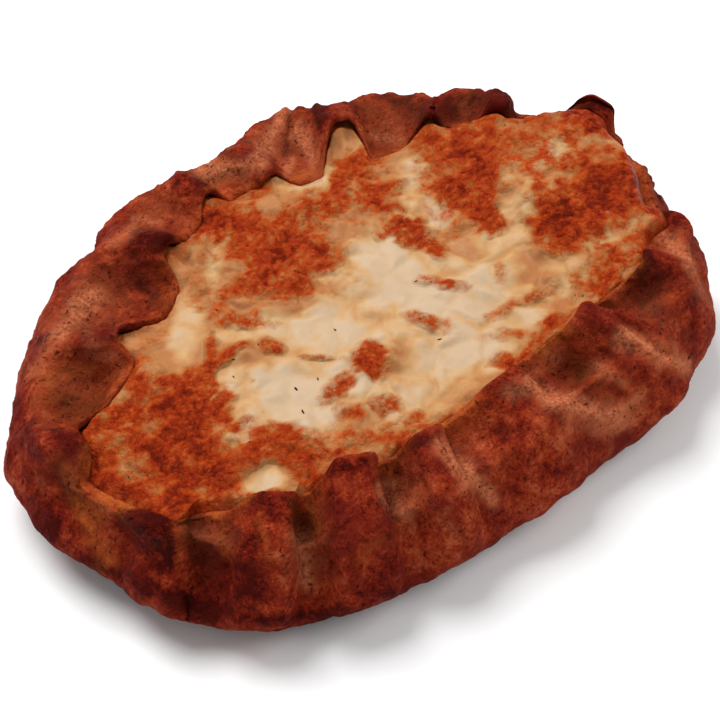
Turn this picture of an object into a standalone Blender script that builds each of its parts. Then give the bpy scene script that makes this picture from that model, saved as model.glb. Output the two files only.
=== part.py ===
"""An open oval savoury pie: a rye crust whose rim is pinched into folds over a domed, browned filling.

Two solids, in metres, +Z up, resting on the flat underside of the crust:
  rye_crust  the base, the bulging wall and the crimped rim that leans in over the filling
  filling    the baked filling, which runs down through the pie to the crust's floor

Every place on the pie is an angle round the oval and a share of the way out: share 0 is the
middle and share 1 is the widest line of the wall. Angle 0 is the end at +X and angle 90 the
side at +Y. A section of the crust is a curve of (share, height), and it changes with the angle
as folds and the lobes between them follow one another round the rim.
"""

from typing import NamedTuple

import bmesh
import bpy
import numpy as np

MM = 0.001

# Driving dimensions, in millimetres
HALF_LENGTH = 65.0
HALF_WIDTH = 46.8
CRUST_THICKNESS = 2.0
GAP = 0.6
WALL_TOP_SHARE = 0.935
# The wall from the base's edge to its top, as shares of the widest line and heights
WALL_PROFILE = ((0.84, 0.0), (0.925, 1.2), (0.975, 4.6), (1.0, 8.5), (0.978, 12.4), (WALL_TOP_SHARE, 16.0))
# The shoulder and the mid slope lie at these shares of the way from the free edge out to the wall's top
SHOULDER_PLACE = 0.80
MIDDLE_PLACE = 0.48
WIDE_RIM = 9.0
NARROW_RIM = 3.5
NARROWEST_RIM = 1.2
SHOULDER_HEIGHT = 19.0
NARROW_SHOULDER_DROP = 0.4
LOBE_SHOULDER_FOLLOW = 0.7
FOLD_SHOULDER_RISE = 0.4
FOLD_PROUD = 0.9
FILLING_HEIGHT = 16.6
FILLING_DOME = 1.2
FAR_END_RISE = 3.4
FILLING_ROLL = 4.0

# How far up the section the folds' relief begins and is full, and where the folds begin to lean over
RELIEF_FROM = 0.15
RELIEF_FULL = 0.60
LEAN_FROM = 0.55

# How finely the surfaces are divided
SEGMENTS = 120
OUTER_STEPS = 15
EDGE_STEPS = 3
INNER_STEPS = 10
FILLING_TOP_STEPS = 12

# Where the inner skin has its rings, from the floor's edge to the free edge: the filling's side has the same
INNER_PLACES = tuple(np.linspace(0.30, 1.0, INNER_STEPS))
# The inner ring from which the skin leans in, and the least it comes in by from ring to ring, in millimetres
CLOSING_FROM = 3
LEAST_STEP = 0.08


class Fold(NamedTuple):
    """A pinched ridge: it runs up the wall at the root angle and leans to its tip over the filling."""

    root: float
    tip: float
    reach: float
    height: float
    before: float
    after: float
    plateau: float


class Lobe(NamedTuple):
    """The dough between two folds: how far in its edge lies, how high, and how deep the thumb dent is,
    and how many millimetres the wall below puffs out or, if less than 0, sinks."""

    angle: float
    reach: float
    height: float
    dent: float
    puff: float


# Angles and spreads in degrees, reaches as shares, heights, depths and puffs in millimetres
FOLDS = (
    Fold(9, 8, 0.85, 21.2, 8, 10, 0.1),
    Fold(32, 27, 0.77, 22.4, 5, 7, 0.1),
    Fold(45, 43, 0.71, 22.8, 6, 6, 0.1),
    Fold(68, 62, 0.77, 23.0, 7, 8, 0.1),
    Fold(87, 85, 0.69, 20.4, 6, 6, 0.1),
    Fold(98, 100, 0.75, 21.8, 5, 6, 0.1),
    Fold(117, 118, 0.70, 22.2, 7, 9, 0.1),
    Fold(139, 147, 0.72, 21.4, 8, 9, 0.1),
    Fold(165, 174, 0.87, 22.2, 10, 9, 0.1),
    Fold(199, 200, 0.92, 21.0, 7, 5, 0.4),
    Fold(219, 217, 0.78, 21.2, 7, 4, 0.4),
    Fold(236, 231, 0.67, 23.0, 8, 6, 0.4),
    Fold(251, 249, 0.67, 22.4, 6, 6, 0.1),
    Fold(271, 271, 0.64, 23.0, 9, 8, 0.3),
    Fold(297, 299, 0.67, 23.0, 10, 7, 0.1),
    Fold(313, 316, 0.81, 23.0, 7, 8, 0.1),
    Fold(330, 332, 0.87, 19.5, 6, 8, 0.1),
)
LOBES = (
    Lobe(22, 0.79, 16.4, 0.3, -3.0),
    Lobe(37, 0.72, 18.6, 1.4, 1.6),
    Lobe(53, 0.61, 18.2, 2.6, 2.2),
    Lobe(77, 0.59, 17.6, 2.6, 3.0),
    Lobe(93, 0.71, 17.8, 1.2, 0.8),
    Lobe(108, 0.70, 18.4, 1.4, 2.0),
    Lobe(132, 0.60, 17.8, 3.2, 1.0),
    Lobe(158, 0.69, 17.8, 3.6, 0.6),
    Lobe(187, 0.91, 18.2, 1.4, -0.4),
    Lobe(208, 0.84, 17.8, 2.6, -1.4),
    Lobe(225, 0.73, 17.8, 3.8, -2.2),
    Lobe(241, 0.64, 18.6, 3.8, -1.6),
    Lobe(260, 0.63, 20.0, 2.4, -0.8),
    Lobe(286, 0.61, 19.8, 4.6, -1.8),
    Lobe(307, 0.70, 19.8, 2.6, -0.6),
    Lobe(323, 0.83, 18.8, 1.8, -0.6),
    Lobe(343, 0.88, 17.2, 0.3, 0.0),
    Lobe(358, 0.88, 15.9, 0.3, 0.0),
)
# Where the oval swells or flattens: angle, share of the radius, spread in degrees
OUTLINE_SWELLS = (
    (27, -0.050, 12),
    (48, -0.030, 18),
    (92, -0.028, 22),
    (128, 0.012, 16),
    (196, -0.020, 14),
    (218, 0.050, 22),
    (270, -0.045, 20),
    (302, 0.062, 18),
    (332, -0.010, 8),
    (352, -0.064, 13),
)
# Lumps on the filling: x, y and height in millimetres, and the two radii across
LUMPS = (
    (36, -2, 1.6, 9, 7),
    (24, 12, 1.2, 8, 6),
    (2, 22, 1.1, 8, 5),
    (-12, 12, 1.0, 9, 7),
    (-26, 2, 1.1, 8, 7),
    (-40, 8, 1.0, 7, 6),
    (-34, -12, 1.2, 9, 6),
    (4, 2, 1.3, 9, 6),
    (14, -10, 1.0, 10, 5),
    (-8, -12, 0.9, 8, 5),
    (46, 8, 1.1, 6, 7),
    (-20, -20, 0.8, 7, 4),
)


def eased(x):
    """0 to 1 with flat ends, held outside."""
    x = np.clip(x, 0.0, 1.0)
    return x * x * (3.0 - 2.0 * x)


def turned(angle, centre):
    """The signed angle from centre to angle, from -180 to 180 degrees."""
    return (angle - centre + 180.0) % 360.0 - 180.0


def ring_curve(stations, values, angle):
    """A smooth closed curve through values at station angles: cubic Hermite with mean slopes."""
    order = np.argsort(np.asarray(stations) % 360.0)
    at = (np.asarray(stations, float) % 360.0)[order]
    value = np.asarray(values, float)[order]
    at = np.concatenate([at[-2:] - 360.0, at, at[:2] + 360.0])
    value = np.concatenate([value[-2:], value, value[:2]])
    slope = np.gradient(value, at)
    angle = angle % 360.0
    i = np.clip(np.searchsorted(at, angle, side="right") - 1, 0, len(at) - 2)
    width = at[i + 1] - at[i]
    u = (angle - at[i]) / width
    return (
        value[i] * (1 + 2 * u) * (1 - u) ** 2
        + slope[i] * width * u * (1 - u) ** 2
        + value[i + 1] * u * u * (3 - 2 * u)
        + slope[i + 1] * width * u * u * (u - 1)
    )


def outline(angle):
    """How far the widest line lies from a true oval, as a factor of the radius."""
    factor = np.ones_like(angle)
    for centre, amount, spread in OUTLINE_SWELLS:
        factor += amount * np.exp(-((turned(angle, centre) / spread) ** 2))
    return factor


def fold_shares(angle, along):
    """For each fold, how much of the dough is fold: 1 on its crest, 0 past its spread.

    along is 0 at the foot of the wall, 0.75 at the shoulder and 1 at the free edge.
    """
    lean = eased((along - LEAN_FROM) / (1.0 - LEAN_FROM))
    shares = []
    for fold in FOLDS:
        off = turned(angle, fold.root + turned(fold.tip, fold.root) * lean)
        reach = np.where(off < 0, -off / fold.before, off / fold.after)
        shares.append(eased((1.0 - reach) / (1.0 - fold.plateau)))
    return shares


def lobe_curve(field, angle):
    return ring_curve([lobe.angle for lobe in LOBES], [getattr(lobe, field) for lobe in LOBES], angle)


def mixed(lobe_value, fold_values, shares):
    """The lobe's value where there is no fold, and each fold's own value on its crest."""
    total = sum(shares)
    spare = np.clip(1.0 - total, 0.0, 1.0)
    weight = np.maximum(total, 1.0)
    return lobe_value * spare + sum(s * v for s, v in zip(shares, fold_values)) / weight


def swell(angle, u, shares):
    """The outline, with folds that stand proud of the wall and lobes that puff out or sink between them.

    Both fade away towards the foot of the wall, where the dough was rolled flat.
    """
    fold = np.clip(sum(shares), 0.0, 1.0)
    relief = FOLD_PROUD * fold + lobe_curve("puff", angle) * (1.0 - fold)
    fade = eased((u - RELIEF_FROM) / (RELIEF_FULL - RELIEF_FROM))
    return outline(angle) + relief * fade / radius(angle)


def narrowness(angle, wall_top, edge_share):
    """0 where the free edge reaches far in over the filling, 1 where the rim is only an upright wall."""
    return eased((WIDE_RIM - (wall_top - edge_share) * radius(angle)) / (WIDE_RIM - NARROW_RIM))


def rim_values(angle, along):
    """The share and height of the shoulder, of the mid slope and of the free edge, at one angle."""
    shares = fold_shares(angle, along)
    reach = lobe_curve("reach", angle)
    height = lobe_curve("height", angle)
    dent = lobe_curve("dent", angle)
    edge_share = mixed(reach, [f.reach for f in FOLDS], shares)
    edge_height = mixed(height, [f.height for f in FOLDS], shares)
    wall_top = WALL_TOP_SHARE * swell(angle, along, shares)
    edge_share = np.minimum(edge_share, wall_top - NARROWEST_RIM / radius(angle))
    # Where the rim is narrow the dough stands up like a wall and does not lean over
    narrow = narrowness(angle, wall_top, edge_share)
    shoulder_share = edge_share + (wall_top - edge_share) * SHOULDER_PLACE
    fold = np.clip(sum(shares), 0.0, 1.0)
    follow = LOBE_SHOULDER_FOLLOW * (height - SHOULDER_HEIGHT) * (1.0 - fold)
    shoulder_height = SHOULDER_HEIGHT + FOLD_SHOULDER_RISE * fold + follow
    shoulder_height += (edge_height - NARROW_SHOULDER_DROP - shoulder_height) * narrow
    middle_share = edge_share + (shoulder_share - edge_share) * MIDDLE_PLACE
    sunk = mixed(-dent, [0.5] * len(FOLDS), shares)
    middle_height = 0.5 * (shoulder_height + edge_height) + sunk * (1.0 - narrow)
    return shoulder_share, shoulder_height, middle_share, middle_height, edge_share, edge_height


def through(points, u):
    """A Catmull-Rom curve through equally spaced control points, at u from 0 to 1."""
    last = len(points) - 1
    x = min(u * last, last - 1e-9)
    i = int(x)
    f = x - i
    p0, p1 = points[max(i - 1, 0)], points[i]
    p2, p3 = points[i + 1], points[min(i + 2, last)]
    return 0.5 * (
        2 * p1
        + (p2 - p0) * f
        + (2 * p0 - 5 * p1 + 4 * p2 - p3) * f * f
        + (3 * p1 - p0 - 3 * p2 + p3) * f**3
    )


def section_points(angle, u):
    """Nine points (share, height) for the crust's outer skin to pass through, from its base to its free edge."""
    rim = rim_values(angle, u)
    shoulder_height = rim[1]
    wide = swell(angle, u, fold_shares(angle, u))
    rise = np.minimum(shoulder_height / SHOULDER_HEIGHT, 1.0)
    shares = [share * wide for share, height in WALL_PROFILE] + list(rim[0::2])
    heights = [height * rise for share, height in WALL_PROFILE] + list(rim[1::2])
    return shares, heights


def wall_curve(angle, u):
    """The crust's outer skin as (share, height): u is 0 at the edge of the base and 1 at the free edge."""
    shares, heights = section_points(angle, u)
    return through(shares, u), through(heights, u)


def placed(angle, share, height):
    """Points in millimetres for an angle, a share of the way out and a height."""
    a = np.radians(angle)
    return np.stack([HALF_LENGTH * share * np.cos(a), HALF_WIDTH * share * np.sin(a), height + 0 * a], axis=-1)


def radius(angle):
    """Millimetres from the middle to share 1."""
    a = np.radians(angle)
    return np.hypot(HALF_LENGTH * np.cos(a), HALF_WIDTH * np.sin(a))


def inner_curve(angle, u):
    """The crust's inner skin: each of the nine points moved by the crust's thickness towards the filling.

    Under a wide rim the upper points move down. Where the rim is narrow and upright they move inwards.
    """
    shares, heights = section_points(angle, u)
    narrow = narrowness(angle, shares[-4], shares[-1])
    inwards = [0.5, 0.7, 0.95, 1.0, 1.0, 0.9, 0.5 + 0.5 * narrow, 0.9 * narrow, 0.7 * narrow]
    upwards = [1.0, 0.7, 0.3, 0.0, -0.1, -0.4, -0.9 + 0.2 * narrow, -1.0 + 0.3 * narrow, -1.0 + 0.3 * narrow]
    shares = [share - CRUST_THICKNESS * move / radius(angle) for share, move in zip(shares, inwards)]
    heights = [height + CRUST_THICKNESS * move for height, move in zip(heights, upwards)]
    return through(shares, u), through(heights, u)


def closing_in(rings):
    """The same rings, each held a little inside the one below it once they have passed the widest place."""
    rings = [np.array(ring) for ring in rings]
    for below, ring in zip(rings[CLOSING_FROM:], rings[CLOSING_FROM + 1 :]):
        limit = np.hypot(below[:, 0], below[:, 1]) - LEAST_STEP
        reach = np.hypot(ring[:, 0], ring[:, 1])
        ring[:, :2] *= (np.minimum(reach, limit) / reach)[:, None]
    return rings


def inner_skin():
    """The rings of the crust's inner skin from the floor's edge to the free edge."""
    angle = np.arange(SEGMENTS) * 360.0 / SEGMENTS
    return closing_in([placed(angle, *inner_curve(angle, u)) for u in INNER_PLACES])


def crust_rings():
    """Rings of the crust from the middle of the underside, over the rim, to the middle of the floor."""
    angle = np.arange(SEGMENTS) * 360.0 / SEGMENTS
    rings = [placed(angle, share * outline(angle), 0.0) for share in (0.0, 0.45, 0.76)]
    for u in np.linspace(0.0, 1.0, OUTER_STEPS):
        rings.append(placed(angle, *wall_curve(angle, u)))
    edge_share, edge_height = wall_curve(angle, 1.0)
    under_share, under_height = inner_curve(angle, 1.0)
    for turn in np.linspace(0.0, np.pi, EDGE_STEPS + 2)[1:-1]:
        # Half a circle from the skin to the underside, bulging towards the middle of the pie
        mid_share, mid_height = (edge_share + under_share) / 2, (edge_height + under_height) / 2
        bulge = np.sin(turn) * CRUST_THICKNESS / 2 / radius(angle)
        rings.append(
            placed(
                angle,
                mid_share + (edge_share - mid_share) * np.cos(turn) - bulge,
                mid_height + (edge_height - mid_height) * np.cos(turn),
            )
        )
    rings += inner_skin()[::-1]
    rings += [placed(angle, share * outline(angle), CRUST_THICKNESS) for share in (0.86, 0.5, 0.0)]
    return rings


def free_top(point):
    """The filling's height where no dough lies on it: a low dome, higher at the +X end, with lumps."""
    x, y = point[:, 0], point[:, 1]
    out = np.hypot(x / HALF_LENGTH, y / HALF_WIDTH)
    height = FILLING_HEIGHT + FILLING_DOME * (1.0 - out**2)
    height += FAR_END_RISE * eased((x / HALF_LENGTH - 0.25) / 0.6)
    for lump_x, lump_y, rise, across_x, across_y in LUMPS:
        height += rise * np.exp(-(((x - lump_x) / across_x) ** 2) - ((y - lump_y) / across_y) ** 2)
    return height


def inset(rings, depth):
    """Rings moved inwards by a depth, square to the skin that they lie on."""
    skin = np.array(rings)
    up = np.gradient(skin, axis=0)
    round_the_pie = np.roll(skin, -1, axis=1) - np.roll(skin, 1, axis=1)
    inwards = np.cross(up, round_the_pie)
    return skin + depth * inwards / np.linalg.norm(inwards, axis=-1, keepdims=True)


def filling_rings():
    """Rings of the filling from the middle of its underside, up inside the crust, to the middle of its top."""
    angle = np.arange(SEGMENTS) * 360.0 / SEGMENTS
    floor = CRUST_THICKNESS + GAP
    rings = [placed(angle, share * outline(angle), floor) for share in (0.0, 0.5, 0.80)]
    for ring in closing_in(inset(inner_skin(), GAP)):
        ring[:, 2] = np.minimum(ring[:, 2], free_top(ring))
        rings.append(ring)
    # Past the crust's rounded edge the filling rolls up over a quarter round, if it stands higher there
    brink = rings[-1]
    reach = np.hypot(brink[:, 0], brink[:, 1])
    clear = CRUST_THICKNESS / 2 + GAP
    for inward in np.linspace(0.0, 1.0, FILLING_TOP_STEPS) ** 1.4:
        distance = clear + (reach - clear) * inward
        ring = brink * (1.0 - distance / reach)[:, None]
        roll = np.clip((distance - clear) / FILLING_ROLL, 0.0, 1.0)
        ring[:, 2] = brink[:, 2] + (free_top(ring) - brink[:, 2]) * np.sqrt(1.0 - (1.0 - roll) ** 2)
        rings.append(ring)
    return rings


def solid_from_rings(name, rings, shift, diagonals):
    """A sphere primitive whose parallels are moved onto the rings, bottom first, poles included."""
    mesh = bpy.data.meshes.new(name)
    shape = bmesh.new()
    bmesh.ops.create_uvsphere(shape, u_segments=SEGMENTS, v_segments=len(rings) - 1, radius=1.0)
    steps = len(rings) - 1
    for vertex in shape.verts:
        x, y, z = vertex.co
        parallel = round((1.0 - np.arccos(np.clip(z, -1.0, 1.0)) / np.pi) * steps)
        meridian = round(np.degrees(np.arctan2(y, x)) % 360.0 / 360.0 * SEGMENTS) % SEGMENTS
        vertex.co = (rings[parallel][meridian] + shift) * MM
    bmesh.ops.triangulate(shape, faces=shape.faces[:], quad_method=diagonals)
    shape.to_mesh(mesh)
    shape.free()
    mesh.shade_smooth()
    return bpy.data.objects.new(name, mesh)


def finish(name, colour, roughness):
    """A matt food surface of one colour."""
    material = bpy.data.materials.new(name)
    material.use_nodes = True
    shader = material.node_tree.nodes["Principled BSDF"]
    shader.inputs["Base Color"].default_value = (*colour, 1.0)
    shader.inputs["Roughness"].default_value = roughness
    shader.inputs["Metallic"].default_value = 0.0
    return material


def main():
    for thing in list(bpy.data.objects):
        bpy.data.objects.remove(thing)
    pie = bpy.data.collections.new("karelian_pie")
    bpy.context.scene.collection.children.link(pie)

    crust = crust_rings()
    filling = filling_rings()
    everything = np.concatenate(crust)
    middle = (everything.min(axis=0) + everything.max(axis=0)) / 2
    shift = np.array([-middle[0], -middle[1], 0.0])

    # The crust's inner skin runs downwards in its rings and the filling's side upwards, so each takes the
    # other diagonal of its quads and the two skins meet edge by edge
    for name, rings, diagonals, colour, roughness in (
        ("rye_crust", crust, "FIXED", (0.17, 0.035, 0.015), 0.55),
        ("filling", filling, "ALTERNATE", (0.62, 0.40, 0.22), 0.45),
    ):
        piece = solid_from_rings(name, rings, shift, diagonals)
        piece.data.materials.append(finish(name, colour, roughness))
        pie.objects.link(piece)


main()
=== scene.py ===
# %% [markdown]
# # A rye pie with a crimped rim and a browned filling
#
# The pie has two pieces. One is an open shell of dark rye dough whose rim is pinched into folds. The other
# is the pale filling, which baked golden, brown and nearly black in patches. The packed CAD model gives
# their size and place, and this lesson builds the same two pieces again with a finer surface, with
# materials made of nodes, and with the camera and light of a plain studio.

# %% Load the packed pie and keep its box
from typing import NamedTuple

import bpy
import numpy as np
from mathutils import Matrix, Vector


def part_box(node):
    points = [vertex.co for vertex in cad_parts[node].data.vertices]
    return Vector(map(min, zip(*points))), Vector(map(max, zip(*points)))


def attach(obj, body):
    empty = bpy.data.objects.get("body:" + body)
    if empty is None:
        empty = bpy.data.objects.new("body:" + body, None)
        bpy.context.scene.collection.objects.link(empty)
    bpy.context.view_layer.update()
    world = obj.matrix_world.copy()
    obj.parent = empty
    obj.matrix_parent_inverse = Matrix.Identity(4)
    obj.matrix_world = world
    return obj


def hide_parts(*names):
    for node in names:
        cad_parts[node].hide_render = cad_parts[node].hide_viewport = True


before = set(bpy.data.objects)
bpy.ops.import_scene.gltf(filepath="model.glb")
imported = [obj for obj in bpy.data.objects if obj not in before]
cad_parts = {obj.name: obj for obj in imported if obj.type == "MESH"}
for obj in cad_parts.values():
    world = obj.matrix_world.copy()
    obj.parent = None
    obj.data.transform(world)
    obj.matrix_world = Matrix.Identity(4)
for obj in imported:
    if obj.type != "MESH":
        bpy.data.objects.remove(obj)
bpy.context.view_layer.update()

MM = 0.001
crust_low, crust_high = (np.array(corner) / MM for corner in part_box("rye_crust"))

# %% [markdown]
# ## The camera that took the picture
#
# The pie is seen from above its near side, a little from the left, through a fairly long lens. The same
# numbers serve twice: they place Blender's camera, and they turn a place in the picture into a place on the
# pie, so that a burnt spot seen in the picture is painted where it lies on the real one.

# %% Camera
PICTURE = 720
CAMERA_AZIMUTH = np.radians(-40.9)
CAMERA_ELEVATION = np.radians(50.0)
CAMERA_VIEW_ANGLE = np.radians(24.0)
CAMERA_DISTANCE = 281.0
CAMERA_TARGET = np.array([-6.02, -5.80, 10.0])
FOCAL = PICTURE / 2 / np.tan(CAMERA_VIEW_ANGLE / 2)
SENSOR_WIDTH = 36.0
NEAREST_SEEN = 0.01
FARTHEST_SEEN = 10.0

camera_back = np.array(
    [
        np.sin(CAMERA_AZIMUTH) * np.cos(CAMERA_ELEVATION),
        -np.cos(CAMERA_AZIMUTH) * np.cos(CAMERA_ELEVATION),
        np.sin(CAMERA_ELEVATION),
    ]
)
camera_right = np.array([np.cos(CAMERA_AZIMUTH), np.sin(CAMERA_AZIMUTH), 0.0])
camera_up = np.cross(camera_back, camera_right)
camera_place = CAMERA_TARGET + camera_back * CAMERA_DISTANCE


def on_pie(column, row, height):
    """The point in mm where the line of sight through a place in the picture meets a level height."""
    ray = (column - PICTURE / 2) * camera_right - (row - PICTURE / 2) * camera_up - FOCAL * camera_back
    return camera_place + ray * (height - camera_place[2]) / ray[2]


def put(name, data):
    """A new object of that name in the scene, which holds a mesh, a lamp or a camera."""
    thing = bpy.data.objects.new(name, data)
    bpy.context.scene.collection.objects.link(thing)
    return thing


def aimed(thing, place, direction):
    """Moves it to a place in metres and turns it so that its own -Z looks along the direction."""
    thing.location = Vector(place)
    thing.rotation_mode = "QUATERNION"
    thing.rotation_quaternion = Vector(direction).to_track_quat("-Z", "Y")
    return thing


def add_camera():
    """A camera that looks against camera_back; its focal length = half the sensor / tan(half the angle)."""
    camera = bpy.data.cameras.new("studio_camera")
    camera.sensor_width = SENSOR_WIDTH
    camera.lens = camera.sensor_width / 2 / np.tan(CAMERA_VIEW_ANGLE / 2)
    camera.clip_start, camera.clip_end = NEAREST_SEEN, FARTHEST_SEEN
    holder = aimed(put("studio_camera", camera), camera_place * MM, -camera_back)
    bpy.context.scene.camera = holder
    return holder


print("camera at", tuple(round(x, 3) for x in add_camera().location))

# %% [markdown]
# ## Curves that go round the pie
#
# Every place on the pie is an angle round the oval and a share of the way out from the middle, so that the
# rim's ups and downs are curves over the angle. A curve through a few chosen stations is enough, because
# dough bends softly between the places where fingers pinched it.

# %% Curve helpers


def eased(x):
    """Goes from 0 to 1 as 3x² - 2x³, with flat ends, and stays there outside."""
    x = np.clip(x, 0.0, 1.0)
    return x * x * (3.0 - 2.0 * x)


def all_round(count):
    """That many equal steps round the pie, in degrees, as one row."""
    return np.arange(count)[None, :] * 360.0 / count


def turned(angle, centre):
    """The signed angle from centre to angle, from -180 to 180 degrees."""
    return (angle - centre + 180.0) % 360.0 - 180.0


def ring_curve(stations, values, angle):
    """A smooth closed curve through values at station angles: cubic Hermite with mean slopes."""
    order = np.argsort(np.asarray(stations) % 360.0)
    at = (np.asarray(stations, float) % 360.0)[order]
    value = np.asarray(values, float)[order]
    at = np.concatenate([at[-2:] - 360.0, at, at[:2] + 360.0])
    value = np.concatenate([value[-2:], value, value[:2]])
    slope = np.gradient(value, at)
    angle = angle % 360.0
    i = np.clip(np.searchsorted(at, angle, side="right") - 1, 0, len(at) - 2)
    width = at[i + 1] - at[i]
    u = (angle - at[i]) / width
    return (
        value[i] * (1 + 2 * u) * (1 - u) ** 2
        + slope[i] * width * u * (1 - u) ** 2
        + value[i + 1] * u * u * (3 - 2 * u)
        + slope[i + 1] * width * u * u * (u - 1)
    )


print("the ease is", eased(0.25), "a quarter of the way; from 350 to 10 degrees is", turned(10.0, 350.0))

# %% [markdown]
# ## The oval and its wall
#
# The base was rolled out as an oval and pushed out of true by hand, so its outline is an oval times a
# factor that swells and flattens. The wall bulges a little above the base, where the soft dough sank.

# %% Outline and wall
HALF_LENGTH = 65.0
HALF_WIDTH = 46.8
CRUST_THICKNESS = 2.0
WALL_TOP_SHARE = 0.935
# Six points up the wall from the base: share of the radius, height in mm
WALL_PROFILE = ((0.84, 0.0), (0.925, 1.2), (0.975, 4.6), (1.0, 8.5), (0.978, 12.4), (WALL_TOP_SHARE, 16.0))
# Where the oval swells or flattens: angle, share of the radius, spread in degrees
OUTLINE_SWELLS = (
    (27, -0.050, 12),
    (48, -0.030, 18),
    (92, -0.028, 22),
    (128, 0.012, 16),
    (196, -0.020, 14),
    (218, 0.050, 22),
    (270, -0.045, 20),
    (302, 0.062, 18),
    (100, 0.024, 9),
    (164, 0.026, 12),
    (335, -0.036, 8),
    (354, -0.034, 12),
)


def radius(angle):
    """Millimetres from the middle to share 1 of the true oval."""
    a = np.radians(angle)
    return np.hypot(HALF_LENGTH * np.cos(a), HALF_WIDTH * np.sin(a))


def outline(angle):
    """1 plus a bell curve for each swell: how far the widest line lies from the true oval."""
    factor = np.ones_like(angle)
    for centre, amount, spread in OUTLINE_SWELLS:
        factor = factor + amount * np.exp(-((turned(angle, centre) / spread) ** 2))
    return factor


def placed(angle, share, height):
    """Points in mm: x = a·share·cos(angle), y = b·share·sin(angle), z = height."""
    a = np.radians(angle)
    x = HALF_LENGTH * share * np.cos(a)
    y = HALF_WIDTH * share * np.sin(a)
    return np.stack(np.broadcast_arrays(x, y, height), axis=-1)


swells = outline(all_round(360))
print("the widest line is", round(swells.min(), 3), "to", round(swells.max(), 3), "of the true oval")

# %% [markdown]
# ## Folds and lobes
#
# The baker pinched the rim between two fingers and laid each pinch over the filling. A pinch leaves a
# fold, which stands proud of the wall and reaches in over the filling, and between two folds a lobe sags
# into a thumb dent. Each of them has its own angle, reach and height, read off the picture, and the rim
# blends from one to the next.

# %% What a fold and a lobe are


class Fold(NamedTuple):
    """A pinched ridge: it runs up the wall at the root angle and leans to its tip over the filling.

    flat is half the width of its crest, before and after are the widths of its flanks, and lap is how far
    the crest is pushed over the dough beyond it, all in degrees.
    """

    root: float
    tip: float
    reach: float
    height: float
    flat: float
    before: float
    after: float
    lap: float = 0.0


class Lobe(NamedTuple):
    """The dough between two folds: its edge's reach and height, and the depth of its dent.

    puff is how far it stands out from the wall, and sag is how far its shoulder sinks.
    """

    angle: float
    reach: float
    height: float
    dent: float
    puff: float
    sag: float = 0.0


print("a fold has", len(Fold._fields), "numbers and a lobe", len(Lobe._fields))

# %% [markdown]
# ## The folds and lobes of this pie
#
# Counted from the pie's right-hand end, anticlockwise from above. Those at the back are guessed from the
# little that shows, and kept as uneven as the ones in front.

# %% Folds and lobes of this pie
FOLDS = (
    Fold(7, 6, 0.94, 21.6, 2.4, 5, 9),
    Fold(32, 27, 0.77, 22.4, 0.6, 4.5, 6.5),
    Fold(45, 43, 0.71, 22.8, 0.6, 5.4, 5.4),
    Fold(67, 65, 0.77, 23.0, 1.2, 7, 8),
    Fold(87, 85, 0.69, 20.4, 0.6, 5.4, 5.4),
    Fold(98, 100, 0.75, 21.8, 0.6, 4.5, 5.4),
    Fold(117, 118, 0.70, 22.2, 0.8, 6.3, 8),
    Fold(139, 147, 0.72, 21.4, 0.9, 7.2, 8),
    Fold(165, 174, 0.87, 22.2, 1.0, 9, 8),
    Fold(203.5, 199, 0.92, 21.0, 3.2, 5, 1.8, 1.2),
    Fold(222, 217.6, 0.785, 21.4, 3.0, 4.5, 1.8, 1.6),
    Fold(237.5, 232, 0.71, 23.0, 3.6, 3.4, 2.0, 2.0),
    Fold(251.5, 249.5, 0.68, 22.4, 2.0, 4.4, 3.4, 0.8),
    Fold(270, 270.5, 0.645, 23.0, 3.4, 5.5, 4.5, 0.8),
    Fold(294, 298, 0.68, 23.0, 1.2, 9, 5),
    Fold(309, 315.5, 0.81, 23.0, 0.8, 6, 7.5),
    Fold(326, 329, 0.90, 18.4, 0.6, 4.5, 5),
)
LOBES = (
    Lobe(22, 0.79, 17.0, 0.3, -2.0),
    Lobe(37, 0.72, 18.6, 1.4, 1.6),
    Lobe(54, 0.61, 18.2, 2.6, 2.4),
    Lobe(76, 0.60, 18.2, 2.6, 5.0),
    Lobe(93, 0.71, 17.8, 1.2, 0.8),
    Lobe(108, 0.70, 18.4, 1.4, 3.4),
    Lobe(132, 0.60, 17.8, 3.6, 1.2),
    Lobe(158, 0.69, 17.8, 3.6, 0.6),
    Lobe(187, 0.95, 18.0, 1.4, -0.4),
    Lobe(209, 0.82, 17.6, 1.6, -3.4, 2.6),
    Lobe(226, 0.74, 17.8, 3.0, -3.8, 3.4),
    Lobe(242, 0.68, 18.2, 3.6, -3.8, 3.0),
    Lobe(259, 0.64, 19.8, 2.8, -1.8, 1.4),
    Lobe(285, 0.62, 19.4, 4.4, -2.4, 0.6),
    Lobe(304, 0.71, 19.6, 3.4, -1.2),
    Lobe(323, 0.83, 18.8, 1.8, -0.6),
    Lobe(340, 0.86, 16.4, 0.3, -1.6),
    Lobe(356, 0.90, 15.0, 0.3, 0.6),
)
print(len(FOLDS), "folds and", len(LOBES), "lobes")

# %% [markdown]
# ## How the folds blend into the rim
#
# At each angle every fold has a share between 0 and 1. The shares weigh the folds' own numbers against the
# lobe's, so the rim passes smoothly from one to the next. The crest leans from its root to its tip on the
# way up, which is what makes a pinched fold look laid over and not like a tooth.

# %% How the folds blend
FOLD_PROUD = 0.9
LEAN_FROM = 0.55
RELIEF_FROM = 0.15
RELIEF_FULL = 0.60
LAP_FROM = 0.60
LAP_OVER = 0.25


def fold_shares(angle, u):
    """For each fold, 1 on its crest falling to 0 past its flanks; the crest leans to its tip with u."""
    lean = eased((u - LEAN_FROM) / (1.0 - LEAN_FROM))
    shares = []
    for fold in FOLDS:
        off = turned(angle, fold.root + turned(fold.tip, fold.root) * lean)
        flank = np.where(off < 0, fold.before, fold.after)
        shares.append(eased(1.0 - (np.abs(off) - fold.flat) / flank))
    return shares


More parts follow.
